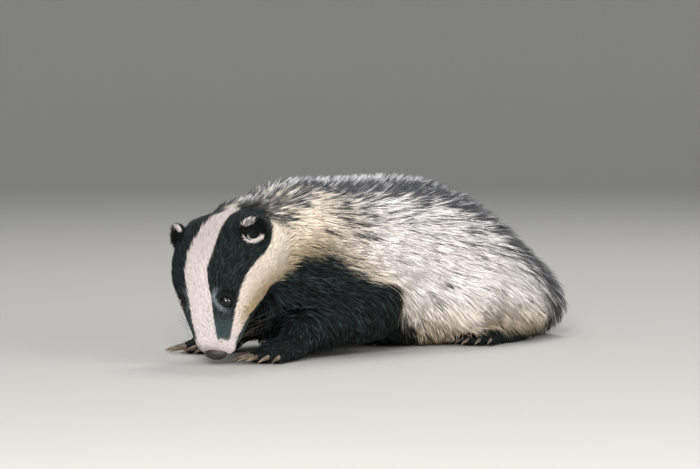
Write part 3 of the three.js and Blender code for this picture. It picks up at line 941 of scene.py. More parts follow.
def flowAt(place):
    # the way the coat lies: a direction for each part, mixed where parts meet
    points, side = place["points"], np.cos(place["trunkAngle"])
    y, step = points[:, 1], tailFlow["step"]
    low = before(points[:, 2], "lowCoat") * after(y, "hindBody")
    down = fallShares["everywhere"] + fallShares["sides"] * np.abs(side)
    down = down + fallShares["lowDown"] * low + fallShares["rump"] * after(y, "rumpFall")
    tailBack = np.array([0, tailFlow["back"], 0])
    turned = np.cos(np.radians(place["headAngle"]))
    aside = headFlow["aside"] * np.sign(place["head"][:, 0]) * turned
    onHead = unit(np.stack([aside, np.ones(len(y)), -headFlow["down"] * turned], -1)) @ headAxes.T
    flows = {
        "trunk": unit(np.stack([side * 0.1, np.ones(len(y)), -down], -1)),
        "tail": unit(tailMiddle(y + step) - tailMiddle(y - step) + tailBack),
        "head": onHead,
        "jaw": unit(onHead + np.array([0, headFlow["jaw"], 0])),
    }
    for name, way in lies.items():
        flows[name] = unit(np.array(way, float))
    return unit(sum(place["share"][:, [k]] * flows[p["name"]] for k, p in enumerate(parts)))


# A tuft's width and its length along each part, in its own frame for the head and jaw, and how high it rises
# where the part's coat has no depth of its own
coat = {
    "trunk": {"at": (-300, -250, -190, -100, 30, 236), "value": (20, 27, 36, 44, 50, 54), "width": 0.9},
    "tail": {"at": (196, 300), "value": (50, 44), "width": 1.4},
    "head": {"at": (-124, -104, -80, -55, -25, 5, 30), "value": (3, 4.5, 7, 9, 13, 18, 22), "width": 0.6},
    "jaw": {"at": (-112, -60, 14), "value": (4, 9, 16), "width": 0.6, "rise": 2},
    "foreleg": {"at": (-230, -110), "value": (10, 26), "width": 1.1, "rise": 4.5},
    "hindleg": {"at": (40, 100, 150), "value": (42, 34, 18), "width": 1.0, "rise": 8},
    "forepaw": {"at": (-270, -180), "value": (4, 8), "width": 0.7, "rise": 1.4},
    "hindpaw": {"at": (40, 140), "value": (4, 8), "width": 0.7, "rise": 1.4},
}
trunkHair = {
    "underShort": 0.45,  # how far the hair is shorter where the coat is thin
    "blackShort": 0.3,  # how far it is shorter and lower in the black
    "crestShort": 0.5,  # how far it is shorter, and then higher, along the back
    "crestRise": 0.15,
    "skirt": (12, 0.25),  # what the flanks' long edge adds to the rise, and to the length as a share of it
    "chest": (26, 0.4),
}


def uprightAt(place):
    # how far the hair stands up: most along the back
    y = place["points"][:, 1]
    return after(place["fold"], "crest") * after(y, "crestFront") * before(y, "crestEnd")


def trunkSizes(place, length):
    # length and rise of the trunk's tufts: short underneath, in the black and along the back, and long along
    # the flanks' lower edge and under the chest
    t = trunkHair
    y, fold = place["points"][:, 1], place["fold"]
    under = 1 - skin["thinUnder"] * np.maximum(0, -np.sin(place["trunkAngle"]))
    black = softStep(markAt("blackTop", y) - place["points"][:, 2], fades["blackCoat"])
    thin = 1 - t["blackShort"] * black
    crest = uprightAt(place)
    length = length * (1 - t["underShort"] + t["underShort"] * under) * thin * (1 - t["crestShort"] * crest)
    rise = column(trunk, "coat", y) * skin["trunkShare"] * under * thin * (1 + t["crestRise"] * crest)
    skirt = before(fold, "skirtTop") * after(fold, "skirtLow") * after(y, "foreBody") * before(y, "skirtEnd")
    chest = before(fold, "chestTop") * before(y, "chestEnd") * after(y, "chestFront")
    rise = rise + t["skirt"][0] * skirt + t["chest"][0] * chest
    return length * (1 + t["skirt"][1] * skirt + t["chest"][1] * chest), rise


def coatSizes(place):
    # length, rise and width of the tuft at each point, mixed from the parts near it
    y, hy = place["points"][:, 1], place["head"][:, 1]
    sizes = np.zeros((3, len(y)))
    for k, part in enumerate(parts):
        name = part["name"]
        length = along(coat[name], hy if name in ("head", "jaw") else y)
        if name == "trunk":
            length, rise = trunkSizes(place, length)
        elif name == "tail":
            rise = column(tail, "coat", y) * skin["tailShare"]
        elif name == "head":
            rise = column(head, "coat", hy) * skin["faceShare"]
        else:
            rise = np.full(len(y), coat[name]["rise"])
        sizes += place["share"][:, k] * np.stack([length, rise, np.full(len(y), coat[name]["width"])])
    return sizes


charts = {  # left and lower edge, width and height of each part's patch on the coat's map
    "trunk": (0.0, 0.0, 0.6, 0.78),
    "head": (0.62, 0.0, 0.36, 0.4),
    "jaw": (0.62, 0.42, 0.36, 0.16),
    "tail": (0.62, 0.6, 0.18, 0.18),
    "ear": (0.82, 0.6, 0.16, 0.18),
}
legChart = (0.12, 0.82, 0.11, 0.16)  # the first is the step from one leg's patch to the next
legMiddle = (78, 20)  # millimetres aside and up, which a leg's patch is wrapped round
formOf = {"trunk": trunk, "tail": tail, "head": head, "jaw": jaw}


def chartAt(place):
    # where each root lies on the skin unwrapped: along its part, and round it
    found = np.zeros((len(place["points"]), 2))
    for k, part in enumerate(parts):
        mine = place["part"] == k
        points = place["points"][mine]
        name = part["name"]
        if name in formOf:
            t, angle, _ = formPlace(formOf[name], toHead(points) if name in ("head", "jaw") else points)
            left, low, wide, tall = charts[name]
        else:
            reach = part["y"]
            t = (points[:, 1] - reach[0]) / (reach[1] - reach[0])
            angle = np.arctan2(points[:, 2] - legMiddle[1], points[:, 0] - part["side"] * legMiddle[0])
            left, low, wide, tall = legChart[0] * (k - 2), *legChart[1:]
        found[mine, 0] = left + wide * np.clip(t, 0, 1)
        found[mine, 1] = low + tall * (angle / (2 * np.pi) + 0.5)
    return found


def trianglesOf(points, faces):
    # corners and unit normals of triangles, and twice their areas
    corners = points[faces]
    square = np.cross(corners[:, 1] - corners[:, 0], corners[:, 2] - corners[:, 0])
    return corners, unit(square), np.linalg.norm(square, axis=1)


def scatter(random, points, faces, density, count):
    # seeded places spread over triangles by their area times a density, and which triangle each is on
    corners, _, area = trianglesOf(points, faces)
    total = np.cumsum(area * density)
    picked = np.searchsorted(total, (np.arange(count) + random.random(count)) / count * total[-1])
    a, b = random.random((2, count))
    over = a + b > 1
    a, b = np.where(over, 1 - a, a), np.where(over, 1 - b, b)
    weights = np.stack([1 - a - b, a, b], -1)[..., None]
    return np.sum(corners[picked] * weights, 1), picked


# How tufts differ from each other, and how their rise and their locks grow from root to tip
tuftChange = {
    "lift": (0.75, 1.25),
    "lockLength": (0.85, 1.15),
    "length": (0.8, 1.2),
    "width": (0.75, 1.25),
    "uprightArch": 0.5,
    "clumpPower": 1.4,
}


def alongSkin(way, out):
    # the part of a way that is square to the skin's, as a unit vector
    return unit(way - np.sum(way * out, 1)[:, None] * out)


def turnedAbout(v, axis, angle):
    # v turned about unit axes that are square to it
    return v * np.cos(angle)[:, None] + np.cross(axis, v) * np.sin(angle)[:, None]


def lockOf(points, cell):
    # which lock each root belongs to: those in one cell of a wavering grid share one
    waver = 0.35 * cell * np.sin(points[:, [1, 2, 0]] * 0.9 / cell + points[:, [2, 0, 1]] * 0.5 / cell)
    keys = np.floor((points + waver) / cell).astype(np.int64)
    _, lock = np.unique(keys @ np.array([1, 4001, 16008001]), return_inverse=True)
    return lock


def lockMean(lock, values):
    count = np.bincount(lock)
    return np.stack([np.bincount(lock, values[:, n]) / count for n in range(3)], 1)


def tuftPaths(random, roots, flow, length, rise, upright, shape):
    # each tuft is walked over the skin in steps, its height over the skin rising from its sunk root to its
    # tip, and is then drawn towards the middle of its lock, most at the tip
    lock = lockOf(roots, shape["cell"])
    locks, count = lock.max() + 1, len(roots)
    sway = shape["sway"] * (random.random(locks)[lock] - 0.5) + shape["stray"] * (random.random(count) - 0.5)
    lift = 1 + shape["lift"] * (random.random(locks)[lock] - 0.5)
    lift = np.minimum(lift * between(random, tuftChange["lift"], count), shape["highest"])
    length = length * between(random, tuftChange["lockLength"], locks)[lock]
    length = length * between(random, tuftChange["length"], count)
    _, out = readGrid(grid, roots)
    heading = turnedAbout(alongSkin(flow, out), out, sway)
    place = roots - out * shape["sunk"]
    path, outs = [place], [out]
    shares = shape["shares"]
    for last, share in zip(shares[:-1], shares[1:]):
        place = place + alongSkin(heading, out) * (length * (share - last))[:, None]
        distance, out = readGrid(grid, place)
        wanted = rise * lift * share ** (shape["arch"] + tuftChange["uprightArch"] * upright)
        place = place + out * ((wanted - distance) * shape["hold"])[:, None]
        path.append(place)
        outs.append(out)
    path = np.stack(path, 1)
    for k, share in enumerate(shares[1:], 1):
        drawn = (shape["clump"] + shape["crestClump"] * upright) * share ** tuftChange["clumpPower"]
        path[:, k] = mix(path[:, k], lockMean(lock, path[:, k])[lock], drawn)
    return path, np.stack(outs, 1), lock


spike = {
    "taper": {"at": (0, 0.3, 0.75, 1), "value": (0.7, 1, 0.7, 0)},  # width from root to tip
    "sides": ((-1, -0.22), (1, -0.22), (0, 0.5)),  # corners of its section across and out, in half widths
    "lowest": 0.25,  # millimetres over the floor
    "patch": 0.003,  # size of its patch on the map
}


def tuftMesh(path, outs, width, shares, uv, ringColours):
    # each tuft is a tapered spike of three sides: a ridge along its outer face and two edges below it
    count, rings = len(path), path.shape[1] - 1
    ahead = np.concatenate([path[:, 1:], path[:, -1:]], 1)
    behind = np.concatenate([path[:, :1], path[:, :-1]], 1)
    lengthways = unit(ahead - behind)
    across = unit(np.cross(lengthways, outs))
    over = np.cross(across, lengthways)
    half = 0.5 * width[:, None, None] * along(spike["taper"], shares)[None, :, None]
    rows = [path + half * (a * across + b * over) for a, b in spike["sides"]]
    body = np.stack(rows, 2)[:, :rings].reshape(count, rings * 3, 3)
    points = np.concatenate([body, path[:, rings:]], 1).reshape(-1, 3)
    points[:, 2] = np.maximum(points[:, 2], spike["lowest"])
    faces = [[0, 2, 1]]
    for k in range(rings - 1):
        for a, b in ((0, 1), (1, 2), (2, 0)):
            p, q = 3 * k + a, 3 * k + b
            faces += [[p, q, q + 3], [p, q + 3, p + 3]]
    tip = 3 * rings
    faces += [[tip - 3, tip - 2, tip], [tip - 2, tip - 1, tip], [tip - 1, tip - 3, tip]]
    each = tip + 1
    allFaces = (np.array(faces)[None] + each * np.arange(count)[:, None, None]).reshape(-1, 3)
    offsetU = np.append(np.tile([0, 1, 0.5], rings), 0.5) - 0.5
    offsetV = np.append(np.repeat(shares[:-1], 3), 1)
    coords = uv[:, None] + spike["patch"] * np.stack([offsetU, offsetV], -1)[None]
    tones = np.concatenate([np.repeat(ringColours[:, :rings], 3, 1), ringColours[:, rings:]], 1)
    return points, allFaces, np.clip(coords, 0, 1).reshape(-1, 2), tones.reshape(-1, 3)


tuftTones = {
    "fleck": (3, 8, 3),  # size of the groups of hairs that share a dark band
    "black": (0.1, 0.4, 0.2, 0.3),  # least blackness, what chance adds by tuft and by lock, and the fade
    "bandChance": {"at": (0, 0.12, 0.5, 1), "value": (0, 0.1, 0.6, 1)},  # by the band's strength
    "kept": (0.93, 0.07),  # share of a fleck's hairs that have its band, at least, and more in strong bands
    "strength": (0.92, 1),
    "faint": 0.2,  # strength of the others' bands
    "tipChance": (0.2, 0.54),  # of a white tip, everywhere and more along the back
    "fringe": (79, 4, 14),  # degrees up where the white fringe begins, more at the neck, and its fade
    "tipFleck": 0.75,  # how far a white tip goes by the fleck
    "faintTip": 0.05,
    "pale": (0.84, 0.1, 0.22),  # least brightness, and more by lock and by tuft
    "dark": (0.6, 1.2),
    "glint": (0.7, 6),  # painted glints: slate on a few black hairs, most, and how rare
    "root": (0.1, 0.35),  # strength of the band at the root, and more on the banded back
    "rise": {"at": (0.2, 0.45), "value": (0, 1)},  # where along the hair the band sets in
    "tip": {"at": (0.55, 0.8, 1), "value": (0, 0.55, 1)},  # where the white tip sets in
    "shade": {"at": (0, 0.3, 1), "value": (0.6, 0.94, 1.04)},  # painted shade: brightness from root to tip, darkest at the root
    "blackTip": 0.9,  # how much lighter black hair is at its tip
}


def tuftColours(random, place, lock, shares, tall):
    # black where the markings say, and elsewhere pale, then darker in a band, and white at some tips, with
    # painted shade darkening the pale hair towards its root
    t = tuftTones
    pale, dark, black, banded = coatColours(place)
    count = len(pale)
    perLock = random.random(lock.max() + 1)[lock]
    least, each, byLock, fade = t["black"]
    isBlack = np.clip((black - least - each * random.random(count) - byLock * perLock) / fade, 0, 1)
    fleck = lockOf(place["points"], np.array(t["fleck"]))
    flecks = fleck.max() + 1
    isBanded = random.random(flecks)[fleck] < along(t["bandChance"], banded)
    isBanded &= random.random(count) < t["kept"][0] + t["kept"][1] * banded
    strength = np.where(isBanded, between(random, t["strength"], count), t["faint"] * banded)
    up, more, fade = t["fringe"]
    neck = before(place["points"][:, 1], "fringeNeck")
    fringe = softStep(place["fold"] - up - more * neck, fade)
    tipped = t["tipFleck"] * random.random(flecks)[fleck] + (1 - t["tipFleck"]) * random.random(count)
    isTipped = tipped < t["tipChance"][0] + t["tipChance"][1] * fringe
    whiteTip = np.where(isTipped, 1, t["faintTip"]) * np.clip(banded * 1.5, 0, 1)
    least, byLock, each = t["pale"]
    pale = pale * (least + byLock * perLock + each * random.random(count))[:, None]
    # painted glints: a few black hairs lightened towards slate
    glint = t["glint"][0] * random.random(count) ** t["glint"][1]
    dark = mix(dark, linear(colours["slate"]), glint) * between(random, t["dark"], count)[:, None]
    atRoot = t["root"][0] + t["root"][1] * after(banded, "fullBand")
    tones = []
    for share in shares:
        bandShare = np.maximum(atRoot, along(t["rise"], share)) if tall else 0
        tone = mix(pale, linear(colours["band"]), strength * bandShare)
        tone = mix(tone, linear(colours["tip"]), whiteTip * (along(t["tip"], share) if tall else 0))
        # painted shade: the pale hair darker towards its root
        tone = tone * along(t["shade"], share)
        tones.append(mix(tone, dark * (1 + t["blackTip"] * share), isBlack))
    return np.stack(tones, 1)


bodyTufts = {
    "cell": 5.5,  # size of a lock
    "sway": 0.45,  # how much whole locks and single tufts turn aside, in radians
    "stray": 0.34,
    "lift": 0.6,  # how much the height of locks differs
    "highest": 1.25,  # limit of a tuft's height, over the coat's
    "sunk": 1.5,
    "arch": 0.75,  # power by which the height grows towards the tip
    "hold": 0.85,  # how closely a tuft keeps to that height
    "clump": 0.45,  # how far tips draw together in a lock, and more along the back
    "crestClump": 0.35,
    "shares": [0, 0.34, 0.74, 1],
}
faceTufts = {
    "cell": 3,
    "sway": 0.25,
    "stray": 0.5,
    "lift": 0.6,
    "highest": 1.5,
    "sunk": 0.7,
    "arch": 0.8,
    "hold": 0.9,
    "clump": 0.2,
    "crestClump": 0,
    "shares": [0, 0.5, 1],
}
legTufts = {**faceTufts, "cell": 6, "clump": 0.5, "sway": 0.5}

skinTriangles = triangulated(skinFaces)
middles = skinPoints[skinTriangles].mean(1)
middlePlace = bodyPlace(middles)
onFace = middlePlace["of"]("head", "jaw") > 0.5
onLegs = middlePlace["of"]("foreleg", "hindleg", "forepaw", "hindpaw") > 0.5
growth = {
    "sole": 1.5,  # no tufts grow lower than this over the floor
    "eye": 8.8,  # nor this near to an eye's or the nose's middle
    "nose": 12,
    "face": {"at": (-115, -40, 20), "value": (2.6, 1.4, 0.8)},  # how densely they grow along the head
    "belly": 0.5,  # how much less densely on the belly
}
fromNose = np.linalg.norm(middles - fromHead(np.array(nosePlace, float)), axis=1)
bare = (middles[:, 2] < growth["sole"]) | (fromNose < growth["nose"])
for centre in eyes.values():
    bare |= np.linalg.norm(middles - centre, axis=1) < growth["eye"]
lowBody = 1 - growth["belly"] * before(middlePlace["fold"], "thinBelly")
densities = {
    "bodyCoat": np.where(onFace | onLegs | bare, 0, lowBody),
    "headCoat": np.where(onFace & ~bare, along(growth["face"], middlePlace["head"][:, 1]), 0),
    "legCoat": np.where(onLegs & ~bare, 1.0, 0),
}
coatPieces = [
    {"name": "bodyCoat", "pieces": 5, "count": 54000, "shape": bodyTufts, "slot": "grey_coat"},
    {"name": "headCoat", "pieces": 3, "count": 40000, "shape": faceTufts, "slot": "face_coat"},
    {"name": "legCoat", "pieces": 1, "count": 14000, "shape": legTufts, "slot": "dark_coat"},
]
seeds = {"coat": 3, "ear": 20, "whiskers": 31}
tuftMiddle = 0.45  # share of the way from root to tip at which a tuft's colour is read


def growCoat(layer, random):
    # the tufts of one kind of coat, sorted from head to tail and divided into pieces
    roots, _ = scatter(random, skinPoints, skinTriangles, densities[layer["name"]], layer["count"])
    order = np.argsort(roots[:, 1])
    roots = settle(roots[order], 1)
    place = bodyPlace(roots)
    length, rise, width = coatSizes(place)
    shape = layer["shape"]
    path, outs, lock = tuftPaths(random, roots, flowAt(place), length, rise, uprightAt(place), shape)
    shares = np.array(shape["shares"])
    shown = bodyPlace(tuftMiddle * path[:, -1] + (1 - tuftMiddle) * path[:, 0])
    tones = tuftColours(random, shown, lock, shares, len(shares) > 3)
    width = width * between(random, tuftChange["width"], len(width))
    uv = chartAt(place)
    made = []
    for k, n in enumerate(np.array_split(np.arange(len(roots)), layer["pieces"])):
        points, faces, coords, colour = tuftMesh(path[n], outs[n], width[n], shares, uv[n], tones[n])
        made.append(makeMesh(f"{layer['name']}{k + 1}", points, faces, colour, coords))
    print(layer["name"], len(roots), "tufts")
    return made


coatObjects = []
for k, layer in enumerate(coatPieces):
    for made in growCoat(layer, np.random.default_rng(seeds["coat"] + k)):
        coatObjects.append((made, layer["slot"]))

earTufts = {
    "count": 4200,
    "length": (4, 5.5),  # inside or behind, and at the rim
    "rise": (0.1575, 0.09),  # how far a tuft stands off at the same places, as shares of its length
    "width": 0.6,
    "change": (0.7, 1.3),  # how lengths and widths differ
    "rim": (0.8, 0.25),  # distance from the middle where the rim begins, and its fade
    "front": (-84, 70),  # where the rim is white: middle and half width in degrees, before and behind
    "back": (122, 46),
    "thickest": (-52, 60),  # where the white of the rim before is widest, and how far that reaches
    "white": (0.08, 0.24),  # its least width and how much wider it is there
    "leanAlong": 0.7,  # how far hair lies along the rim before, and up behind
    "leanUp": 0.85,
    "up": (0.9, 0.6, 0.1),
    "stray": 0.3,
    "farEdge": 0.2,  # how much of the white rim the far ear shows
    "farTip": (0.75, 0.45, 0.3),  # its white tip: strength, where it begins and its fade
    "streak": (0.6, 3.4, 10),  # white hair across the near ear: strength, half width and half length
    "streakWay": (0.78, 0.62),
    "streakPlace": (-0.5, 8.2),  # along that way and across it
    "tones": (0.7, 1, 1.1),  # painted shade: brightness from root to tip, darkest at the root
    "shares": [0, 0.5, 1],
}


def earEdge(turn, name):
    # 1 where the rim is white before or behind, 0 elsewhere
    middle, half = earTufts[name]
    return softStep(half - degreesApart(turn, middle), 20)


def earCoat(side, random):
    # tufts over both faces of an ear, lying towards its rim and longest there; white along parts of the rim,
    # and in a tip on the far ear or a streak across the near one
    e, t = earShape, earTufts
    points, faces = earSurface(side)
    faces = triangulated(facesOut(points, faces))
    corners, normal, area = trianglesOf(points, faces)
    free = readGrid(grid, corners.mean(1))[0] > -0.5
    roots, picked = scatter(random, points, faces, free * (area > 1e-6), t["count"])
    out, count = normal[picked], len(picked)
    axes, place, inHead = earAxes(side), earPlace(side), toHead(roots)
    local = (inHead - place) @ axes.T
    flat = local[:, :2] / np.array(e["outer"][:2])
    radius = np.linalg.norm(flat, axis=1)
    rim = softStep(radius - t["rim"][0], t["rim"][1])
    headSide = (inHead - place)[:, :2] * np.array([side, 1])
    turn = np.degrees(np.arctan2(headSide[:, 1], headSide[:, 0]))
    frontEdge, backEdge = earEdge(turn, "front"), earEdge(turn, "back")
    # hair runs out to the rim, but along it where the rim is white before the ear, and up where it is behind
    outward = unit(np.column_stack([local[:, :2], 2 + 0 * radius])) @ axes
    alongRim = unit(np.column_stack([side * headSide[:, 1], -headSide[:, 0], 0 * radius]))
    lean = mix(outward, alongRim, t["leanAlong"] * rim * frontEdge)
    upward = unit(np.array(t["up"]) * np.array([side, 1, 1]))
    toRim = mix(lean, upward, t["leanUp"] * backEdge) @ headAxes.T
    stray = t["stray"] * (random.random((count, 3)) - 0.5)
    heading = unit(toRim - np.sum(toRim * out, 1)[:, None] * out + stray)
    length = np.interp(rim, [0, 1], t["length"]) * between(random, t["change"], count)
    rise = out * np.interp(rim, [0, 1], t["rise"])[:, None]
    path = np.stack([roots + (heading * s + rise * s**0.7) * length[:, None] for s in t["shares"]], 1)
    outs = np.repeat(out[:, None], len(t["shares"]), 1)
    where, reach = t["thickest"]
    wide = t["white"][0] + t["white"][1] * np.exp(-(((turn - where) / reach) ** 2))
    front = softStep(radius - 1.02 + wide, 0.12) * frontEdge
    if side < 0:
        front *= t["farEdge"]
        amount, begin, fade = t["farTip"]
        back = amount * softStep(radius - begin, fade) * backEdge
    else:
        (c, s), (ahead, aside) = t["streakWay"], t["streakPlace"]
        amount, half, reach = t["streak"]
        onward, across = headSide @ np.array([c, s]), headSide @ np.array([-s, c])
        back = amount * softStep(half - np.abs(across - aside), 4)
        back = back * softStep(reach - np.abs(onward - ahead), 6)
    facing = (out @ headAxes) @ axes[2]
    white = np.maximum(front, back) * (facing > -0.2)
    isWhite = (white > between(random, (0.2, 0.8), count)).astype(float)
    black = np.tile(linear(colours["black"]), (count, 1))
    tone = mix(black, linear(colours["stripe"]), isWhite)
    # painted shade: each ear tuft darker towards its root
    tones = np.stack([tone * s for s in t["tones"]], 1)
    left, low, wide, tall = charts["ear"]
    across = left + wide * (0.5 + 0.24 * side + 0.2 * flat[:, 0])
    uv = np.column_stack([across, low + tall * (0.5 + 0.4 * flat[:, 1])])
    width = t["width"] * between(random, t["change"], count)
    return tuftMesh(path, outs, width, np.array(t["shares"]), uv, tones)


for side, sideName in ((1, "Left"), (-1, "Right")):
    points, faces, coords, tone = earCoat(side, np.random.default_rng(seeds["ear"] + side))
    coatObjects.append((makeMesh("earCoat" + sideName, points, faces, tone, coords), "dark_coat"))

whiskers = {
    "each": 16,
    "y": (-112, -88),  # where they grow, in the head's frame, and in degrees up from the side
    "angle": (-34, 10),
    "length": (18, 42),
    "width": 0.4,
    "aside": (0.7, 1.1),  # the way they point
    "back": (0.2, 0.9),
    "up": -0.3,
    "bow": 0.35,
    "bowWay": (0, 0.75, -0.2),
    "sunk": 0.8,
    "colour": (0.24, 0.22, 0.21),
    "shares": [0, 0.35, 0.7, 1],
}


def whiskerCoat(random):
    # long single hairs from both sides of the muzzle, that bow back and down
    w = whiskers
    count = 2 * w["each"]
    side = np.where(np.arange(count) % 2, 1, -1)
    y = between(random, w["y"], count)
    angle = np.radians(between(random, w["angle"], count))
    reach = np.interp(y, w["y"], [24, 36])
    up = column(head, "mid", y) + reach * np.sin(angle)
    roots = settle(fromHead(np.column_stack([side * reach * np.cos(angle), y, up])), 3)
    out = readGrid(grid, roots)[1]
    length = between(random, w["length"], count)[:, None]
    aside = side * between(random, w["aside"], count)
    local = np.column_stack([aside, between(random, w["back"], count), np.full(count, w["up"])])
    heading = unit(unit(local) @ headAxes.T + 0.5 * out)
    bow = w["bow"] * unit(np.array([w["bowWay"]], float)) @ headAxes.T
    path = [roots + (heading * s + s**2 * bow) * length - out * w["sunk"] * (1 - s) for s in w["shares"]]
    path = np.stack(path, 1)
    rings = path.shape[1]
    outs = np.repeat(np.cross(heading, np.cross(out, heading))[:, None], rings, 1)
    tones = np.tile(linear(w["colour"]), (count, rings, 1))
    uv = chartAt(bodyPlace(roots))
    return tuftMesh(path, unit(outs), np.full(count, w["width"]), np.array(w["shares"]), uv, tones)


points, faces, coords, tone = whiskerCoat(np.random.default_rng(seeds["whiskers"]))
coatObjects.append((makeMesh("whiskers", points, faces, tone, coords), "face_coat"))


skinTones = {
    "pale": 0.8,  # brightness of the pale coat's skin, and strength of its dark bands
    "band": 0.9,
    "lids": (9, 1.5),  # distance from an eye's middle, and its fade
    "lips": (1.8, 2),  # distance from where head and jaw meet, and its fade
    "lipReach": 10,
}


def skinColours(points):
    # the coat's own colours a little darker, nearly black lids, and dark lips where the jaw meets the head
    place = bodyPlace(points)
    pale, dark, black, banded = coatColours(place)
    t = skinTones
    pale = mix(pale * t["pale"], linear(colours["band"]), t["band"] * banded)
    colour = mix(pale, dark, black)
    near = np.minimum.reduce([np.linalg.norm(points - c, axis=1) for c in eyes.values()])
    colour = mix(colour, linear(colours["lids"]), softStep(t["lids"][0] - near, t["lids"][1]))
    each = partDistances(points)
    headGap, jawGap = each[:, -2], each[:, -1]
    lips = softStep(t["lips"][0] - np.abs(jawGap - headGap), t["lips"][1])
    lips *= before(place["head"][:, 1], "lips") * before(place["head"][:, 2], "lipsLow")
    lips *= np.maximum(jawGap, headGap) < t["lipReach"]
    return mix(colour, linear(colours["lips"]), lips)


skinColour = skinColours(wholeSkin)
skinColour[len(skinPoints) :] = linear(colours["black"])  # the ears and lids
skinObject = makeMesh("skin", wholeSkin, triangulated(wholeFaces), skinColour)
print("skin and coat made:", 1 + len(coatObjects), "pieces")

eyeball = {"around": 48, "rows": 32, "bulge": -0.2, "bulgeWidth": 0.8, "look": (0.62, -0.42, 0.66)}


def eyeSurface(side):
    # a ball whose front is a little flattened, and the angle of each of its points from the way it looks
    e = eyeball
    turn = turns(e["around"])
    fall = np.linspace(0.0008, np.pi - 0.0008, e["rows"])[:, None]
    radius = eyeSize["radius"] + e["bulge"] * np.exp(-((fall / e["bulgeWidth"]) ** 2))
    across = radius * np.sin(fall)
    local = gathered(across * np.cos(turn), across * np.sin(turn), radius * np.cos(fall))
    look = axesAlong(e["look"] * np.array([side, 1, 1]))
    faces = tube(e["rows"], e["around"])
    return fromHead(local @ look + eyeCentre(side)), faces, np.repeat(fall, e["around"])


nosePad = {
    "radii": (12.5, 7.5, 9),
    "tilt": 0.25,
    "nostril": (5.6, 1.0),  # from the middle and up
    "nostrilSize": (2.6, 2.2),
    "nostrilDepth": 3.4,
    "slit": (3.6, -1.6),  # from the nostril
    "slitSize": (2.6, 1.0),
    "slitDepth": 0.7,  # of the nostril's
    "groove": 0.9,
    "grooveHalf": 0.8,
    "square": 0.12,  # how far the pad's outline is squared
    "around": 72,
    "rows": 44,
}


def noseSurface():
    # a rounded pad whose front is pressed in at two nostrils, with a slit at the side of each, and along a
    # groove below the middle
    n = nosePad
    turn = turns(n["around"])
    fall = np.linspace(0.001, np.pi - 0.001, n["rows"])[:, None]
    squareness = (1 - n["square"] * np.cos(2 * turn) ** 2 * np.sin(fall) ** 2) ** 0.5
    x = n["radii"][0] * np.sin(fall) * np.cos(turn) / squareness
    z = n["radii"][2] * np.sin(fall) * np.sin(turn) / squareness
    y = -n["radii"][1] * np.cos(fall)
    side, up = np.abs(x) - n["nostril"][0], z - n["nostril"][1]
    (wide, tall), (slitWide, slitTall) = n["nostrilSize"], n["slitSize"]
    dent = np.exp(-((side / wide) ** 2) - ((up / tall) ** 2))
    slitSide, slitUp = (side - n["slit"][0]) / slitWide, (up - n["slit"][1]) / slitTall
    slit = n["slitDepth"] * np.exp(-(slitSide**2) - (slitUp**2))
    groove = np.exp(-((x / n["grooveHalf"]) ** 2)) * softStep(1 - z, 3)
    y = y + softStep(-y, 4) * (n["nostrilDepth"] * np.minimum(dent + slit, 1) + n["groove"] * groove)
    local = gathered(x, y, z) @ turnAbout("x", np.degrees(n["tilt"])).T
    return fromHead(local + np.array(nosePlace, float)), tube(n["rows"], n["around"])


clawShape = {
    "around": 14,
    "rows": 12,
    "base": 0.42,  # its radius, over the toe's
    "narrow": 0.72,  # its width over its height
    "rooted": 0.7,  # how much longer it is inside the toe, over the toe's radius
    "taper": 0.7,
    "rise": 1.2,  # of its base over the toe's middle
    "lowest": 0.15,
}


def clawSurfaces(size, place, turn):
    # each claw is a narrow cone from inside its toe, bent down to the floor along a parabola
    c = clawShape
    _, tips, fan = toesOf(size)
    around = turns(c["around"])
    f = np.linspace(0, 1, c["rows"])[:, None]
    base = size["toe"] * c["base"]
    radius = base * np.maximum(1 - f, 0.0004) ** c["taper"] * np.where(f == 0, 0.01, 1)
    reach = f * (size["claw"] + size["toe"] * c["rooted"])
    drop = size["claw"] * 0.02 + (size["toe"] - 1.5 - base * 0.4) * f**2
    made = []
    for tip, lean in zip(tips, fan):
        x = tip[0] + np.sin(lean) * reach + c["narrow"] * radius * np.cos(around)
        y = tip[1] - np.cos(lean) * reach
        z = tip[2] + c["rise"] - drop + radius * np.sin(around)
        points = pawFrame(gathered(x, y, np.maximum(z, c["lowest"])), place, turn)
        made.append((points, tube(c["rows"], c["around"])))
    return made


def addNode(tree, kind, values, links, **settings):
    # a shader node with its settings, its sockets' values, and the sockets that lead to its own
    node = tree.nodes.new("ShaderNode" + kind)
    for name, value in settings.items():
        setattr(node, name, value)
    for socket, value in values.items():
        node.inputs[socket].default_value = value
    for socket, source in links.items():
        tree.links.new(source, node.inputs[socket])
    return node


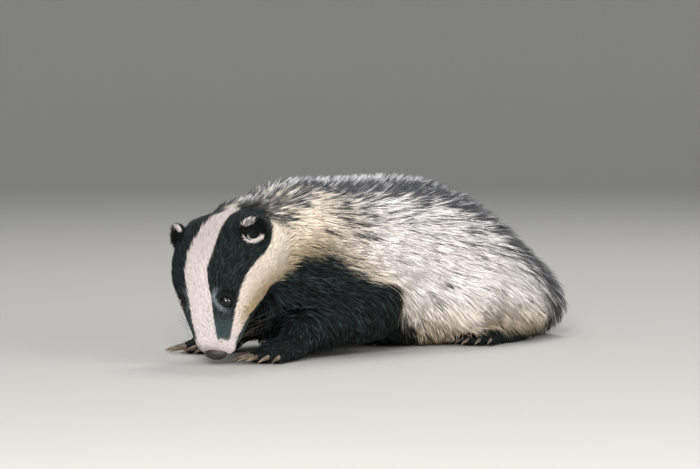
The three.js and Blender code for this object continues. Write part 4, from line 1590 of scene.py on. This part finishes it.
def colourGroup():
    # a coat's own colours made lighter and darker in soft patches, and fine streaks as a height
    group = bpy.data.node_groups.new("coatTone", "ShaderNodeTree")
    for way, kind, names in (
        ("INPUT", "Color", ["Colour"]),
        ("INPUT", "Float", ["Patch size", "Patch strength", "Streak size", "Roughness"]),
        ("OUTPUT", "Color", ["Colour"]),
        ("OUTPUT", "Float", ["Roughness", "Height"]),
    ):
        for name in names:
            group.interface.new_socket(name, in_out=way, socket_type="NodeSocket" + kind)
    given = group.nodes.new("NodeGroupInput").outputs
    place = addNode(group, "TexCoord", {}, {}).outputs["Object"]
    patch = addNode(group, "TexNoise", {"Detail": 3}, {"Vector": place, "Scale": given["Patch size"]})
    long = addNode(group, "Mapping", {"Scale": (1, 0.18, 0.5)}, {"Vector": place}).outputs["Vector"]
    streak = addNode(group, "TexNoise", {"Detail": 4}, {"Vector": long, "Scale": given["Streak size"]})
    level = addNode(group, "Math", {1: 0.5}, {0: patch.outputs["Fac"]}, operation="SUBTRACT").outputs[0]
    share = {0: level, 1: given["Patch strength"]}
    strength = addNode(group, "Math", {2: 1}, share, operation="MULTIPLY_ADD")
    scaled = {0: given["Colour"], "Scale": strength.outputs[0]}
    toned = addNode(group, "VectorMath", {}, scaled, operation="SCALE")
    rough = addNode(group, "Math", {1: 0.25}, {0: level, 2: given["Roughness"]}, operation="MULTIPLY_ADD")
    results = group.nodes.new("NodeGroupOutput").inputs
    group.links.new(toned.outputs["Vector"], results["Colour"])
    group.links.new(rough.outputs[0], results["Roughness"])
    group.links.new(streak.outputs["Fac"], results["Height"])
    return group


toneGroup = colourGroup()


def newMaterial(name):
    material = bpy.data.materials.new(name)
    material.use_nodes = True
    tree = material.node_tree
    return material, tree, tree.nodes["Principled BSDF"]


guardHair = {
    "tone": {"Patch size": 26, "Patch strength": 0.35, "Streak size": 260, "Roughness": 0.62},
    "bump": 0,
    "gloss": 0.18,
}
underCoat = {
    "tone": {"Patch size": 40, "Patch strength": 0.5, "Streak size": 700, "Roughness": 0.85},
    "bump": 0.0012,  # metres
    "gloss": 0.15,
}


def addBump(tree, shader, height, distance):
    relief = addNode(tree, "Bump", {"Distance": distance}, {"Height": height})
    tree.links.new(relief.outputs["Normal"], shader.inputs["Normal"])


def coatMaterial(name, look):
    # a coat's own colours through the tone group, with its streaks as bump
    material, tree, shader = newMaterial(name)
    colour = addNode(tree, "VertexColor", {}, {}, layer_name="coatColour")
    tone = addNode(tree, "Group", {}, {}, node_tree=toneGroup)
    for socket, value in look["tone"].items():
        tone.inputs[socket].default_value = value
    tree.links.new(colour.outputs["Color"], tone.inputs["Colour"])
    tree.links.new(tone.outputs["Colour"], shader.inputs["Base Color"])
    tree.links.new(tone.outputs["Roughness"], shader.inputs["Roughness"])
    if look["bump"]:
        addBump(tree, shader, tone.outputs["Height"], look["bump"])
    shader.inputs["Specular IOR Level"].default_value = look["gloss"]
    return material


def rampFrom(tree, stops):
    ramp = tree.nodes.new("ShaderNodeValToRGB")
    while len(ramp.color_ramp.elements) < len(stops):
        ramp.color_ramp.elements.new(0.5)
    for element, (place, colour) in zip(ramp.color_ramp.elements, stops):
        element.position = place
        element.color = (*linear(colour), 1)
    return ramp


eyeTones = {
    "stops": [  # share of a right angle from the way the eye looks, and the colour there
        (0, (0.01, 0.01, 0.01)),
        (0.42, (0.01, 0.01, 0.01)),
        (0.5, (0.06, 0.04, 0.03)),
        (0.62, (0.05, 0.035, 0.03)),
        (0.72, (0.02, 0.02, 0.02)),
    ],
    "fibres": 900,
    "roughness": 0.04,
}


def eyeMaterial():
    # pupil, dark brown iris and a black edge, by the angle from the way the eye looks, under a wet gloss
    material, tree, shader = newMaterial("wetEye")
    place = addNode(tree, "TexCoord", {}, {}).outputs["Object"]
    angle = addNode(tree, "Attribute", {}, {}, attribute_name="lookAngle").outputs["Fac"]
    ramp = rampFrom(tree, eyeTones["stops"])
    tree.links.new(angle, ramp.inputs["Fac"])
    fibres = addNode(tree, "TexNoise", {"Scale": eyeTones["fibres"]}, {"Vector": place})
    layers = {"Color1": ramp.outputs["Color"], "Color2": fibres.outputs["Color"]}
    blend = addNode(tree, "MixRGB", {"Fac": 0.5}, layers, blend_type="MULTIPLY")
    tree.links.new(blend.outputs["Color"], shader.inputs["Base Color"])
    shader.inputs["Roughness"].default_value = eyeTones["roughness"]
    shader.inputs["Specular IOR Level"].default_value = 0.5
    return material


noseLeather = {
    "dark": (0.10, 0.085, 0.085),
    "light": (0.20, 0.17, 0.165),
    "scale": 900,
    "bump": 0.0004,  # metres
    "roughness": 0.42,
}
clawHorn = {
    "dark": (0.22, 0.18, 0.15),
    "light": (0.46, 0.40, 0.34),
    "scale": 300,
    "bump": 0.0002,
    "roughness": 0.42,
}


def hideMaterial(name, look):
    # bare skin or horn: two tones in soft noise, with fine cells as bump
    material, tree, shader = newMaterial(name)
    place = {"Vector": addNode(tree, "TexCoord", {}, {}).outputs["Object"]}
    cells = addNode(tree, "TexVoronoi", {"Scale": look["scale"]}, place)
    noise = addNode(tree, "TexNoise", {"Scale": look["scale"] * 0.3, "Detail": 4}, place).outputs["Fac"]
    ramp = rampFrom(tree, [(0.3, look["dark"]), (0.7, look["light"])])
    tree.links.new(noise, ramp.inputs["Fac"])
    tree.links.new(ramp.outputs["Color"], shader.inputs["Base Color"])
    addBump(tree, shader, cells.outputs["Distance"], look["bump"])
    around = {1: 0.2, 2: look["roughness"] - 0.1}
    rough = addNode(tree, "Math", around, {0: noise}, operation="MULTIPLY_ADD")
    tree.links.new(rough.outputs[0], shader.inputs["Roughness"])
    return material


slotOf = {}


def dress(made, look, slot):
    made.data.materials.append(look)
    slotOf[made] = slot


coatLook = coatMaterial("guardHair", guardHair)
eyeLook = eyeMaterial()
for made, slot in coatObjects:
    dress(made, coatLook, slot)
dress(skinObject, coatMaterial("underCoat", underCoat), "grey_coat")
flesh = [name for name in nodes if name != "nose" and not name.startswith("eye_")]

for side, sideName in ((1, "left"), (-1, "right")):
    points, faces, fall = eyeSurface(side)
    made = makeMesh("eyeball" + sideName.capitalize(), points, facesOut(points, faces))
    layer = made.data.attributes.new("lookAngle", "FLOAT", "POINT")
    layer.data.foreach_set("value", (fall / (np.pi / 2)).astype(np.float32))
    dress(made, eyeLook, "eye")
    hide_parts("eye_" + sideName)

points, faces = noseSurface()
noseObject = makeMesh("nosePad", points, facesOut(points, faces))
dress(noseObject, hideMaterial("noseLeather", noseLeather), "nose_skin")
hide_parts("nose")

claws = []
for side in (1, -1):
    leg = legSet(side)
    claws += clawSurfaces(forePaw, leg["forePlace"], leg["foreTurn"])
    claws += clawSurfaces(hindPaw, leg["hindPlace"], leg["hindTurn"])
clawObject = makeMesh("claws", *joinSurfaces(claws))
dress(clawObject, hideMaterial("clawHorn", clawHorn), "dark_coat")

for made, slot in slotOf.items():
    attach(made, "root")
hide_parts(*flesh)

print("pieces ride and have their looks:", len(slotOf))

studio = {
    "target": (139.1, -200.7, 134.4),  # millimetres in the animal's own frame
    "azimuth": 45,
    "elevation": 3,
    "distance": 3.5,
    "lens": 172.8,
    "sensor": 36,
    "clip": 60,
    "floor": (0.66, 0.65, 0.63),
    "world": (0.86, 0.88, 0.90),
    "worldStrength": 0.84,
}
lamps = {  # place from the target in metres, size and watts
    "keyLight": ((0.5, -2.0, 2.5), 1.2, 28),
    "fillLight": ((2.6, 0.5, 0.5), 2.4, 78),
    "backLight": ((-1.0, 1.8, 2.6), 1.4, 46),
    "frontLight": ((1.8, -2.2, 0.95), 0.85, 112),
}
target = toFrame(np.array(studio["target"]))


def aim(made, place, at):
    made.location = place
    made.rotation_euler = (Vector(at) - Vector(place)).to_track_quat("-Z", "Y").to_euler()


def addLamp(name, offset, size, watts):
    light = bpy.data.lights.new(name, "AREA")
    light.shape = "DISK"
    light.size = size
    light.energy = watts
    aim(addObject(name, light), tuple(target + np.array(offset)), tuple(target))


for name, (offset, size, watts) in lamps.items():
    addLamp(name, offset, size, watts)

camera = addObject("camera", bpy.data.cameras.new("camera"))
camera.data.lens = studio["lens"]
camera.data.sensor_width = studio["sensor"]
camera.data.clip_end = studio["clip"]
a, e = np.radians([studio["azimuth"], studio["elevation"]])
away = np.array([np.sin(a) * np.cos(e), -np.cos(a) * np.cos(e), np.sin(e)])
aim(camera, tuple(target + studio["distance"] * away), tuple(target))
bpy.context.scene.camera = camera

backdrop = {"flat": 4.6, "curve": 2.6, "wall": 2.5, "around": 96, "steps": 14}  # lengths in metres


def backdropSurface():
    # a floor that turns up into a wall all round: in profile a straight line, a quarter circle and a line up
    b = backdrop
    turn = turns(b["around"])
    bend = np.linspace(0, np.pi / 2, b["steps"])
    full = b["flat"] + b["curve"]
    radius = [[0.001, 0.5 * b["flat"]], b["flat"] + b["curve"] * np.sin(bend), [full]]
    height = [[0, 0], b["curve"] * (1 - np.cos(bend)), [b["curve"] + b["wall"]]]
    radius, height = np.concatenate(radius)[:, None], np.concatenate(height)[:, None]
    return gathered(radius * np.cos(turn), radius * np.sin(turn), height), tube(len(radius), b["around"])


floorPoints, floorFaces = backdropSurface()
floorMesh = bpy.data.meshes.new("floor")
floorMesh.from_pydata(floorPoints.tolist(), [], floorFaces.tolist())
floorMesh.polygons.foreach_set("use_smooth", np.ones(len(floorFaces), bool))
floor = addObject("floor", floorMesh)
floorLook, floorTree, floorShader = newMaterial("paleFloor")
floorNoise = addNode(floorTree, "TexNoise", {"Scale": 2}, {})
floorRamp = rampFrom(floorTree, [(0, studio["floor"]), (1, tuple(0.97 * c for c in studio["floor"]))])
floorTree.links.new(floorNoise.outputs["Fac"], floorRamp.inputs["Fac"])
floorTree.links.new(floorRamp.outputs["Color"], floorShader.inputs["Base Color"])
floorShader.inputs["Roughness"].default_value = 0.85
floorMesh.materials.append(floorLook)

world = bpy.data.worlds.new("studioAir")
world.use_nodes = True
background = world.node_tree.nodes["Background"]
background.inputs["Color"].default_value = (*linear(studio["world"]), 1)
background.inputs["Strength"].default_value = studio["worldStrength"]
bpy.context.scene.world = world
bpy.context.scene.view_settings.view_transform = "Standard"
